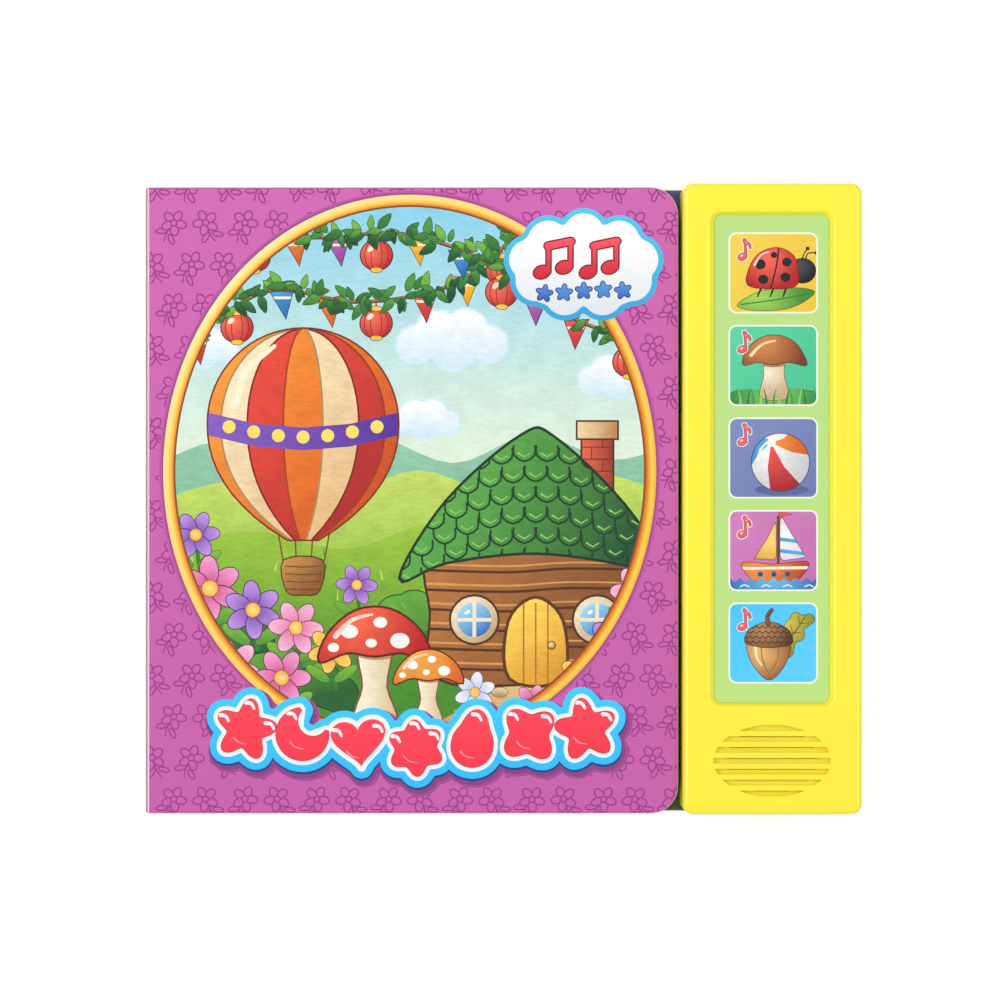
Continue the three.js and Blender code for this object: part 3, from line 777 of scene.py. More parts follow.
@dataclass(frozen=True)
class Finish:
    """A moulded or coated surface with a fine grain, whose colour drifts a little.

    The grain is given by its spacing, the bump by its height, and the drift by its strength.
    """

    name: str
    slot: str
    colour: str
    rough: float = 0.4
    metal: float = 0.0
    ior: float = 1.5
    specular: float = 0.5
    grain_mm: float = 0.6
    bump_mm: float = 0.01
    drift: float = 0.03
    drift_mm: float = 18.0

    def material(self) -> bpy.types.Material:
        """Makes the material, or returns the one that is made already."""
        if self.name in bpy.data.materials:
            return bpy.data.materials[self.name]
        material = bpy.data.materials.new(self.name)
        material.use_nodes = True
        tree = material.node_tree
        tree.nodes.clear()
        place = add(tree, "ShaderNodeTexCoord").outputs["Object"]
        shader = add(tree, "ShaderNodeBsdfPrincipled", {
            "Base Color": self.tint(tree, place),
            "Roughness": self.polish(tree, place),
            "Metallic": self.metal,
            "IOR": self.ior,
            "Specular IOR Level": self.specular,
            "Normal": self.relief(tree, place),
        })
        self.extra(shader)
        add(tree, "ShaderNodeOutputMaterial", {"Surface": shader.outputs["BSDF"]})
        return material

    def noise(self, tree: bpy.types.NodeTree, place: bpy.types.NodeSocket, spacing_mm: float,
              detail: float = 2.0) -> bpy.types.NodeSocket:
        """A noise whose lumps are about spacing_mm apart."""
        made = add(tree, "ShaderNodeTexNoise", {
            "Vector": place, "Scale": 1 / (spacing_mm * MM), "Detail": detail, "Roughness": 0.55,
        })
        return made.outputs["Fac"]

    def tint(self, tree: bpy.types.NodeTree, place: bpy.types.NodeSocket) -> bpy.types.NodeSocket:
        """The base colour, a little darker and lighter in wide patches."""
        base = add(tree, "ShaderNodeRGB")
        base.outputs[0].default_value = (*linear(self.colour), 1.0)
        return self.drifted(tree, base.outputs[0], self.noise(tree, place, self.drift_mm))

    def drifted(self, tree: bpy.types.NodeTree, colour: bpy.types.NodeSocket,
                lumps: bpy.types.NodeSocket) -> bpy.types.NodeSocket:
        """Makes a colour lighter and darker by a noise, as strongly as the drift says."""
        span = add(tree, "ShaderNodeMapRange", {
            "Value": lumps, "From Min": 0.3, "From Max": 0.7, "To Min": 1 - self.drift,
            "To Max": 1 + self.drift,
        })
        scaled = add(tree, "ShaderNodeVectorMath", {0: colour, "Scale": span.outputs["Result"]},
                     operation="SCALE")
        return scaled.outputs["Vector"]

    def polish(self, tree: bpy.types.NodeTree, place: bpy.types.NodeSocket) -> bpy.types.NodeSocket:
        """The roughness, uneven as handling leaves it."""
        made = add(tree, "ShaderNodeMapRange", {
            "Value": self.noise(tree, place, self.drift_mm / 3), "From Min": 0.3, "From Max": 0.7,
            "To Min": self.rough * 0.88, "To Max": self.rough * 1.12,
        })
        return made.outputs["Result"]

    def relief(self, tree: bpy.types.NodeTree, place: bpy.types.NodeSocket) -> bpy.types.NodeSocket:
        """The grain as bump."""
        made = add(tree, "ShaderNodeBump", {
            "Height": self.noise(tree, place, self.grain_mm), "Distance": self.bump_mm * MM, "Strength": 1.0,
        })
        return made.outputs["Normal"]

    def extra(self, shader: bpy.types.Node) -> None:
        """Sets what only some finishes have."""


@dataclass(frozen=True)
class PrintedPaper(Finish):
    """Offset print under film: flat inks, and brush marks where the picture is painted."""

    def tint(self, tree: bpy.types.NodeTree, place: bpy.types.NodeSocket) -> bpy.types.NodeSocket:
        """The ink of the face, mottled where its fourth value says that it is painted."""
        ink = add(tree, "ShaderNodeAttribute", attribute_name="Ink")
        wide = self.noise(tree, place, 7.0, 4.0)
        stretched = add(tree, "ShaderNodeMapping", {"Vector": place, "Rotation": (0, 0, 0.6),
                                                    "Scale": (1, 3.2, 1)})
        strokes = self.noise(tree, stretched.outputs["Vector"], 2.4, 3.0)
        lumps = add(tree, "ShaderNodeMath", {0: wide, 1: strokes}, operation="ADD")
        span = add(tree, "ShaderNodeMapRange", {
            "Value": lumps.outputs[0], "From Min": 0.7, "From Max": 1.3, "To Min": 0.82, "To Max": 1.14,
        })
        mottled = add(tree, "ShaderNodeVectorMath", {0: ink.outputs["Color"],
                                                     "Scale": span.outputs["Result"]},
                      operation="SCALE")
        mixed = add(tree, "ShaderNodeMix", {
            0: ink.outputs["Alpha"], 6: ink.outputs["Color"], 7: mottled.outputs["Vector"],
        }, data_type="RGBA")
        return mixed.outputs[2]


@dataclass(frozen=True)
class CutBoard(Finish):
    """Coated board leaves: smooth white faces, and fibres in thin layers along the cut edges."""

    ply_mm: float = 0.22

    def tint(self, tree: bpy.types.NodeTree, place: bpy.types.NodeSocket) -> bpy.types.NodeSocket:
        """White faces, and a greyer edge with its layers."""
        layers = add(tree, "ShaderNodeMapping", {"Vector": place, "Scale": (0.12, 0.12, 1)})
        fibre = self.noise(tree, layers.outputs["Vector"], self.ply_mm, 3.0)
        edge = add(tree, "ShaderNodeMix", {
            0: fibre, 6: (*linear("cfc6b4"), 1), 7: (*linear("f1ece2"), 1),
        }, data_type="RGBA")
        facing = add(tree, "ShaderNodeSeparateXYZ", {0: add(tree, "ShaderNodeNewGeometry").outputs["Normal"]})
        upright = add(tree, "ShaderNodeMath", {0: facing.outputs["Z"]}, operation="ABSOLUTE")
        mixed = add(tree, "ShaderNodeMix", {
            0: upright.outputs[0], 6: edge.outputs[2], 7: (*linear(self.colour), 1),
        }, data_type="RGBA")
        return mixed.outputs[2]


@dataclass(frozen=True)
class ModuleYellow(Finish):
    """Yellow ABS, a little greener and deeper at the top end than at the grille end: painted shade makes the grille
    end more orange, and painted shade darkens the louvres.
    """

    # Painted shade: the colour at the grille end, more orange as if less light reached it.
    grille_end_shade_colour: str = "ffee3c"
    # Painted shade in the louvre grooves: a deeper amber in an oval round the grille, at the grooves' floors.
    louvre_shade_colour: str = "f3de28"
    louvre_shade_place: tuple[float, float, float] = (74.8, -72.9, 15.7)
    louvre_shade_reach: tuple[float, float, float] = (17.2, 10.9, 0.9)

    def tint(self, tree: bpy.types.NodeTree, place: bpy.types.NodeSocket) -> bpy.types.NodeSocket:
        """A slow change along the module, painted shade towards the grille end, and painted shade that makes the
        louvres' floors deeper amber, standing in for the shade in the grooves.
        """
        up = add(tree, "ShaderNodeSeparateXYZ", {0: place}).outputs["Y"]
        share = add(tree, "ShaderNodeMapRange", {"Value": up, "From Min": -0.088, "From Max": 0.088})
        mixed = add(tree, "ShaderNodeMix", {
            0: share.outputs["Result"], 6: (*linear(self.grille_end_shade_colour), 1), 7: (*linear(self.colour), 1),
        }, data_type="RGBA")
        scales = [1 / (r * MM) for r in self.louvre_shade_reach]
        shifts = [-c / r for c, r in zip(self.louvre_shade_place, self.louvre_shade_reach)]
        near = add(tree, "ShaderNodeVectorMath", {0: place, 1: scales, 2: shifts}, operation="MULTIPLY_ADD")
        far = add(tree, "ShaderNodeVectorMath", {0: near.outputs["Vector"]}, operation="LENGTH")
        depth = add(tree, "ShaderNodeMapRange", {"Value": far.outputs["Value"], "From Min": 1.0,
                                                 "From Max": 0.96})
        # Painted shade: the louvre floors turn deeper amber, standing in for the shade in the grooves.
        louvre_shaded = add(tree, "ShaderNodeMix", {
            0: depth.outputs["Result"], 6: mixed.outputs[2], 7: (*linear(self.louvre_shade_colour), 1),
        }, data_type="RGBA")
        return self.drifted(tree, louvre_shaded.outputs[2], self.noise(tree, place, self.drift_mm))


@dataclass(frozen=True)
class SolderMask(Finish):
    """Green solder mask with pale copper tracks under it."""

    track_mm: float = 2.4

    def tint(self, tree: bpy.types.NodeTree, place: bpy.types.NodeSocket) -> bpy.types.NodeSocket:
        """Tracks as the joints of a fine brick pattern."""
        bricks = add(tree, "ShaderNodeTexBrick", {
            "Vector": place, "Scale": 1 / (self.track_mm * MM), "Color1": (*linear(self.colour), 1),
            "Color2": (*linear(self.colour), 1), "Mortar": (*linear("4d9a4f"), 1), "Mortar Size": 0.06,
        })
        return self.drifted(tree, bricks.outputs["Color"], self.noise(tree, place, self.drift_mm))


@dataclass(frozen=True)
class DrawnSteel(Finish):
    """Plated sheet steel with fine drawing lines along one way."""

    def relief(self, tree: bpy.types.NodeTree, place: bpy.types.NodeSocket) -> bpy.types.NodeSocket:
        """Lines that are long in one direction and close in the other."""
        lines = add(tree, "ShaderNodeMapping", {"Vector": place, "Scale": (0.06, 1, 1)})
        made = add(tree, "ShaderNodeBump", {
            "Height": self.noise(tree, lines.outputs["Vector"], self.grain_mm), "Distance": self.bump_mm * MM,
        })
        return made.outputs["Normal"]


@dataclass(frozen=True)
class Silicone(Finish):
    """Translucent grey silicone: light goes a little way in."""

    def extra(self, shader: bpy.types.Node) -> None:
        """Lets light into the rubber."""
        shader.inputs["Subsurface Weight"].default_value = 0.4
        shader.inputs["Subsurface Scale"].default_value = 0.001


# Printed board under gloss film: even sheen, the faint waviness of paper glued on greyboard.
COVER_PAPER = PrintedPaper("film_laminated_paper", "cover_board", "d2699f", rough=0.36, specular=0.3,
                           grain_mm=1.4, bump_mm=0.006)
# Coated solid board: matt white faces and layered cut edges.
LEAF_BOARD = CutBoard("coated_solid_board", "page_board", "f4f1ea", rough=0.5, specular=0.3, bump_mm=0.004)
# Print on coated paper, without film: softer sheen than the cover.
LEAF_PAPER = PrintedPaper("coated_leaf_paper", "page_board", "f4f1ea", rough=0.45, specular=0.3,
                          bump_mm=0.004)
# Injection moulded ABS: bright, clean yellow with a satin gloss from a fine spark-eroded tool.
CASE_ABS = ModuleYellow("yellow_abs_moulding", "yellow_plastic", "fef334", grille_end_shade_colour="ffee30", rough=0.24,
                        specular=0.5, ior=1.53, grain_mm=0.45, bump_mm=0.002, drift=0.012)
# Printed polyester film: smooth, with a soft sheen and the print behind it.
LABEL_FILM = PrintedPaper("printed_polyester_film", "label_film", "c3e787", rough=0.3, specular=0.35,
                          grain_mm=2.5, bump_mm=0.004)
# Polypropylene keys: plain, slightly waxy white.
KEY_PP = Finish("white_polypropylene", "key_plastic", "f2f1ec", rough=0.45, ior=1.49)
# Moulded silicone rubber domes: soft, dull and milky.
DOME_RUBBER = Silicone("grey_silicone_rubber", "silicone", "b9bbbf", rough=0.55, ior=1.41, bump_mm=0.006)
# Glass epoxy board under solder mask: glossy green with tracks.
BOARD_MASK = SolderMask("green_solder_mask", "circuit_board", "1f7a35", rough=0.3, ior=1.52)
# Black epoxy drop over the bonded chip: wet-looking, slightly dimpled.
EPOXY_DROP = Finish("black_epoxy_drop", "epoxy", "141414", rough=0.22, ior=1.55, grain_mm=2.2, bump_mm=0.03)
# Nickel plated cell cans: bright with fine drawing lines.
CELL_NICKEL = DrawnSteel("nickel_plated_steel", "cell_steel", "c9c9cc", rough=0.28, metal=1.0, grain_mm=0.25)
# Tinned spring steel contacts: greyer and duller than the cells.
CONTACT_TIN = DrawnSteel("tinned_spring_steel", "contact_steel", "c4c4c0", rough=0.4, metal=1.0, grain_mm=0.3)
# Zinc plated screws: cool grey with the die's grain.
SCREW_ZINC = Finish("zinc_plated_screw", "screw_steel", "b4b7ba", rough=0.34, metal=1.0, grain_mm=0.3)
# Formed film cone: black, thin and softly glossy.
CONE_FILM = Finish("formed_speaker_film", "speaker_film", "3c3c3e", rough=0.4, grain_mm=0.9, bump_mm=0.01)
# Vinyl insulation: dense colour with a dull shine.
RED_VINYL = Finish("red_vinyl_insulation", "red_wire", "b3261e", rough=0.42)
BLACK_VINYL = Finish("black_vinyl_insulation", "black_wire", "1a1a1c", rough=0.42)

PLAIN_FINISHES = (LEAF_BOARD, CASE_ABS, KEY_PP, DOME_RUBBER, BOARD_MASK, EPOXY_DROP, CELL_NICKEL, CONTACT_TIN,
                  SCREW_ZINC, CONE_FILM, RED_VINYL, BLACK_VINYL)


def settle(piece: bpy.types.Object, finish: Finish, body: str, nodes: Sequence[str] = ()) -> None:
    """Dresses a finished piece and joins it to its body.

    Args:
        piece: The piece.
        finish: What it is made of.
        body: The body that it rides on.
        nodes: CAD nodes that it stands for.
    """
    piece.data.materials.clear()
    piece.data.materials.append(finish.material())
    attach(piece, body)
    if nodes:
        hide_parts(*nodes)
    LOG.info("%s: %d faces, rides on %s", piece.name, len(piece.data.polygons), body)


# Copies in rows


@dataclass
class Rows:
    """Geometry Nodes tree that sets copies of one pattern piece in rows, each a little out of place."""

    name: str = "copies_in_rows"
    sockets: dict[str, str] = field(default_factory=dict)

    def tree(self) -> bpy.types.NodeTree:
        """Builds the tree with its named inputs.

        Returns:
            The tree.
        """
        tree = bpy.data.node_groups.new(self.name, "GeometryNodeTree")
        vector, whole = "NodeSocketVector", "NodeSocketInt"
        inputs = (("Geometry", "NodeSocketGeometry"), ("Pattern", "NodeSocketObject"), ("Across", whole),
                  ("Along", whole), ("Start", vector), ("Across Step", vector), ("Along Step", vector),
                  ("Looseness", vector), ("Seed", whole), ("Finish", "NodeSocketMaterial"))
        for label, kind in inputs:
            made = tree.interface.new_socket(name=label, in_out="INPUT", socket_type=kind)
            self.sockets[label] = made.identifier
        tree.interface.new_socket(name="Geometry", in_out="OUTPUT", socket_type="NodeSocketGeometry")
        given = add(tree, "NodeGroupInput").outputs
        index = add(tree, "GeometryNodeInputIndex").outputs[0]
        total = add(tree, "ShaderNodeMath", {0: given["Across"], 1: given["Along"]}, operation="MULTIPLY")
        column = add(tree, "ShaderNodeMath", {0: index, 1: given["Across"]}, operation="MODULO")
        quotient = add(tree, "ShaderNodeMath", {0: index, 1: given["Across"]}, operation="DIVIDE")
        row = add(tree, "ShaderNodeMath", {0: quotient.outputs[0]}, operation="FLOOR")
        across = add(tree, "ShaderNodeVectorMath", {0: given["Across Step"], "Scale": column.outputs[0]},
                     operation="SCALE")
        along = add(tree, "ShaderNodeVectorMath", {0: given["Along Step"], "Scale": row.outputs[0]},
                    operation="SCALE")
        low = add(tree, "ShaderNodeVectorMath", {0: given["Looseness"], "Scale": -1.0}, operation="SCALE")
        loose = add(tree, "FunctionNodeRandomValue", {
            0: low.outputs["Vector"], 1: given["Looseness"], "Seed": given["Seed"],
        }, data_type="FLOAT_VECTOR")
        place = given["Start"]
        for extra in (across.outputs["Vector"], along.outputs["Vector"], loose.outputs[0]):
            place = add(tree, "ShaderNodeVectorMath", {0: place, 1: extra}, operation="ADD").outputs["Vector"]
        points = add(tree, "GeometryNodePoints", {"Count": total.outputs[0], "Position": place})
        pattern = add(tree, "GeometryNodeObjectInfo", {"Object": given["Pattern"]})
        copies = add(tree, "GeometryNodeInstanceOnPoints", {
            "Points": points.outputs[0], "Instance": pattern.outputs["Geometry"],
        })
        real = add(tree, "GeometryNodeRealizeInstances", {"Geometry": copies.outputs[0]})
        dressed = add(tree, "GeometryNodeSetMaterial", {
            "Geometry": real.outputs[0], "Material": given["Finish"],
        })
        add(tree, "NodeGroupOutput", {"Geometry": dressed.outputs[0]})
        return tree

    def make(self, name: str, pattern: bpy.types.Object, finish: Finish, across: tuple[int, Point3],
             along: tuple[int, Point3], start: Point3, looseness: Point3 = (0, 0, 0)) -> bpy.types.Object:
        """Sets the copies and turns them into a plain mesh.

        Args:
            name: The new object's name.
            pattern: The piece to copy, which is removed.
            finish: What the copies are made of.
            across: Count and step of the first way.
            along: Count and step of the second way.
            start: Shift of the first copy.
            looseness: The most that a copy lies out of place along each axis.

        Returns:
            The object.
        """
        tree = bpy.data.node_groups.get(self.name) or self.tree()
        piece = make_object(name, bpy.data.meshes.new(name))
        modifier = piece.modifiers.new("copies", "NODES")
        modifier.node_group = tree
        values = {
            "Pattern": pattern, "Across": across[0], "Along": along[0], "Seed": 4,
            "Start": [v * MM for v in start], "Across Step": [v * MM for v in across[1]],
            "Along Step": [v * MM for v in along[1]], "Looseness": [v * MM for v in looseness],
            "Finish": finish.material(),
        }
        for label, value in values.items():
            modifier[self.sockets[label]] = value
        bake(piece)
        bpy.data.objects.remove(pattern)
        return piece


Point3 = tuple[float, float, float]
ROWS = Rows()


# Generic pictures


def star(points: int, depth: float) -> Outline:
    """A round-pointed star of radius 1."""
    return polar(lambda a: 1 - depth + depth * math.cos(points * (a - math.pi / 2)), 90)


def heart() -> Outline:
    """A heart about 2 wide."""
    angles = [-2 * math.pi * i / 72 for i in range(72)]
    return [(1.04 * math.sin(a) ** 3, (13 * math.cos(a) - 5 * math.cos(2 * a) - 2 * math.cos(3 * a)
                                       - 0.6 * math.cos(4 * a)) / 16 + 0.14) for a in angles]


def drop() -> Outline:
    """A drop about 2 high."""
    return polar(lambda a: 0.66 + 0.42 * max(math.sin(a), 0) ** 8 + 0.1 * max(-math.sin(a), 0), 96)


def crescent() -> Outline:
    """A fat crescent open to the upper right."""
    outer = [(math.cos(math.radians(a)), math.sin(math.radians(a))) for a in range(90, 361, 6)]
    inner = [(0.45 + 0.58 * math.cos(math.radians(a)), 0.45 + 0.58 * math.sin(math.radians(a)))
             for a in range(318, 131, -6)]
    return [*outer, *inner]


@dataclass
class Pictures:
    """The book's generic motifs, laid on any print."""

    plate: Print
    draw: random.Random = field(default_factory=lambda: random.Random(11))

    def sprig(self, x: float, y: float, turn: float, line: Shade, ground: Shade) -> None:
        """A small blossom on a stem in line art.

        Args:
            x: Middle across.
            y: Middle up.
            turn: Degrees.
            line: Colour of the lines.
            ground: Colour inside them.
        """
        pen = 0.3
        stem = curved([(0.3, -4.6), (-0.25, -2.6), (0.0, -0.6)], 3, closed=False)
        self.plate.lay(moved(band(stem, 0.4), x, y, turn=turn), line)
        loops = [(-1.7, -2.5, 1.75, 0.8, 35), (1.75, -3.1, 1.6, 0.75, -35)]
        for k in range(5):
            angle = math.radians(90 + 72 * k)
            loops.append((1.95 * math.cos(angle), 1.2 + 1.95 * math.sin(angle), 1.75, 1.2,
                          math.degrees(angle)))
        loops.append((0.0, 1.2, 0.95, 0.95, 0))
        for cx, cy, rx, ry, tilt in loops:
            count = 11
            outer = ellipse(cx, cy, rx + pen / 2, ry + pen / 2, tilt, count)
            inner = ellipse(cx, cy, rx - pen, ry - pen, tilt, count)
            self.plate.lay(moved(outer, x, y, turn=turn), line)
            self.plate.lay(moved(inner, x, y, turn=turn), ground)

    def pattern(self, limits: tuple[float, float, float, float], line: Shade, ground: Shade,
                hidden: Callable[[float, float], bool]) -> None:
        """Sprigs all over, tilted by turns, apart from where they are hidden.

        Args:
            limits: Left, right, bottom and top.
            line: Colour of the lines.
            ground: Colour inside them.
            hidden: Whether a sprig's place is covered.
        """
        pitch_x, pitch_y = 10.0, 11.5
        row = 0
        y = limits[2] + 3.0
        while y < limits[3] + 4:
            x = limits[0] + (2.0 if row % 2 else 7.0)
            column = 0
            while x < limits[1] + 4:
                if not hidden(x, y):
                    tilt = 28 if (row + column) % 2 else -28
                    self.sprig(x, y, tilt + self.draw.uniform(-6, 6), line, ground)
                x += pitch_x
                column += 1
            y += pitch_y
            row += 1

    def note(self, x: float, y: float, scale: float = 1.0, colour: str = "eb6464", halo: bool = True) -> None:
        """A plain eighth note, 6.4 mm high at scale 1.

        Args:
            x: Middle across.
            y: Middle up.
            scale: Its scale.
            colour: Its code.
            halo: Whether it has a pale border.
        """
        shapes = [ellipse(-0.3, -2.1, 1.35, 1.0, 24, 24), band([(0.75, -1.9), (0.35, 2.9)], 0.5),
                  band(curved([(0.3, 2.75), (0.9, 1.9), (1.75, 1.5), (2.0, 0.5)], 4, closed=False), 1.0, 0.4)]
        for width, code in ((0.42, "fdf4f4"), (0.18, "93303c"), (0.0, colour)):
            for shape in shapes:
                if halo or width < 0.3:
                    self.plate.lay(moved(bordered(shape, width), x, y, scale), flat(code))
        self.plate.lay(moved(ellipse(-0.55, -1.75, 0.55, 0.32, 24, 12), x, y, scale), flat("ffc4c4"))
        self.plate.lay(moved(ellipse(0.85, 1.95, 0.3, 0.16, -40, 8), x, y, scale), flat("ffb0b0"))

    def toadstool(self, x: float, y: float, size: float, cap: tuple[str, str],
                  within: Sequence[int] = ()) -> None:
        """A toadstool whose foot is at x, y.

        Args:
            x: Foot across.
            y: Foot up.
            size: Height.
            cap: Colours of the cap, lit and shaded.
            within: What cuts it off.
        """
        def at(shape: Outline) -> Outline:
            """Sets a shape at the foot, in the toadstool's size."""
            return moved(shape, x, y, size)
        stalk = at(curved([(-0.16, 0.02), (-0.1, 0.3), (-0.13, 0.62), (0.13, 0.62), (0.1, 0.3), (0.18, 0.0)],
                          4))
        inner = self.plate.rimmed(stalk, slope("fff6dd", "d8bd8c", (x - 0.15 * size, y), (x + 0.2 * size, y)),
                                  "7a5a3a", 0.02 * size, within, 0.6)
        self.plate.lay(at(ellipse(0.02, 0.6, 0.2, 0.07)), flat("b99463"), [inner, *within], 0.6)
        dome = at(curved([(-0.48, 0.52), (-0.4, 0.76), (-0.16, 0.96), (0.14, 0.97), (0.4, 0.78), (0.48, 0.53),
                          (0.24, 0.6), (0.0, 0.57), (-0.24, 0.6)], 4))
        lit = (x - 0.15 * size, y + 0.9 * size)
        top = self.plate.rimmed(dome, glow(cap[0], cap[1], lit, 0.6 * size), "5d1c18", 0.02 * size, within,
                                0.8)
        for cx, cy, r in ((-0.22, 0.78, 0.075), (0.05, 0.86, 0.06), (0.22, 0.7, 0.085), (-0.03, 0.68, 0.05),
                          (-0.36, 0.64, 0.05)):
            self.plate.lay(at(ellipse(cx, cy, r, r * 0.8, 0, 14)), slope("ffffff", "f0dcc8", lit, (x, y)),
                           [top, *within], 0.5)
        self.plate.lay(at(band(curved([(-0.34, 0.74), (-0.2, 0.88), (-0.02, 0.93)], 3, False), 0.05, 0.02)),
                       flat("ffd9c9"), [top, *within], 0.5)

    def flower(self, x: float, y: float, size: float, petals: tuple[str, str], heart_colour: str,
               within: Sequence[int] = (), stem: float = 0.0) -> None:
        """An open flower, with a stem and two leaves where stem is its length."""
        if stem:
            line = curved([(x + 0.12 * stem, y - stem), (x + 0.05 * stem, y - stem / 2), (x, y)], 3, False)
            self.plate.lay(band(line, size * 0.16), flat("2f7a2c"), within, 0.7)
            for side in (-1, 1):
                leaf = ellipse(x + side * size * 0.55, y - stem * 0.62, size * 0.55, size * 0.2, side * 35,
                               14)
                self.plate.rimmed(leaf, slope("9ad046", "3f8c30", (x, y), (x, y - stem)), "2b6428",
                                  0.02 * size,
                                  within, 0.7)
        turn = self.draw.uniform(0, 60)
        for k in range(6):
            angle = turn + 60 * k
            px = x + 0.52 * size * math.cos(math.radians(angle))
            py = y + 0.52 * size * math.sin(math.radians(angle))
            petal = ellipse(px, py, 0.44 * size, 0.27 * size, angle, 16)
            self.plate.rimmed(petal, glow(petals[1], petals[0], (x, y), size), shade_of(petals[1]),
                              0.03 * size,
                              within, 0.7)
        self.plate.rimmed(ellipse(x, y, 0.24 * size, 0, 0, 14), glow("ffe98a", heart_colour, (x, y),
                                                                     0.3 * size),
                          "8a5a12", 0.02 * size, within, 0.7)

    def bush(self, x: float, y: float, width: float, height: float, tones: tuple[str, str],
             within: Sequence[int] = ()) -> None:
        """A rounded bush with clusters of leaves.

        Args:
            x: Foot across.
            y: Foot up.
            width: Full width.
            height: Full height.
            tones: Lit and shaded green.
            within: What cuts it off.
        """
        discs = [(x + width * (k / 6 - 0.5), y + height * (0.25 + 0.38 * math.sin(math.pi * k / 6)),
                  width * self.draw.uniform(0.16, 0.22)) for k in range(7)]
        edge = cloud(x, y + height * 0.3, discs, 72)
        body = self.plate.rimmed(edge, slope(tones[0], tones[1], (x - width / 4, y + height), (x, y)),
                                 shade_of(tones[1]), 0.3, within, 0.9)
        for _ in range(int(width * 1.3)):
            lx = x + self.draw.uniform(-0.5, 0.5) * width
            ly = y + self.draw.uniform(0.0, 0.95) * height
            leaf = ellipse(lx, ly, 1.15, 0.5, self.draw.uniform(0, 180), 8)
            lit = (ly - y) / height > 0.5
            self.plate.lay(leaf, flat(tones[0] if lit == (self.draw.random() < 0.7) else tones[1]),
                           [body, *within], 0.6)

    def puff(self, x: float, y: float, size: float, within: Sequence[int] = ()) -> None:
        """A fair-weather cloud.

        Args:
            x: Middle across.
            y: Middle up.
            size: Half width, about.
            within: What cuts it off.
        """
        discs = [(x + size * dx, y + size * dy, size * r) for dx, dy, r in (
            (-0.62, -0.05, 0.3), (-0.25, 0.12, 0.38), (0.2, 0.16, 0.36), (0.6, -0.04, 0.28), (0.0, -0.12,
                                                                                              0.34))]
        self.plate.lay(cloud(x, y, [(a, b, r + 0.7) for a, b, r in discs]), flat("d3effa"), within, 0.5)
        self.plate.lay(cloud(x, y, discs), slope("ffffff", "cfe9f6", (x, y + 0.4 * size), (x,
                                                                                           y - 0.5 * size)),
                       within, 0.5)


def shade_of(code: str, share: float = 0.5) -> str:
    """A darker code of the same hue."""
    return "".join(f"{int(int(code[i:i + 2], 16) * share):02x}" for i in (0, 2, 4))


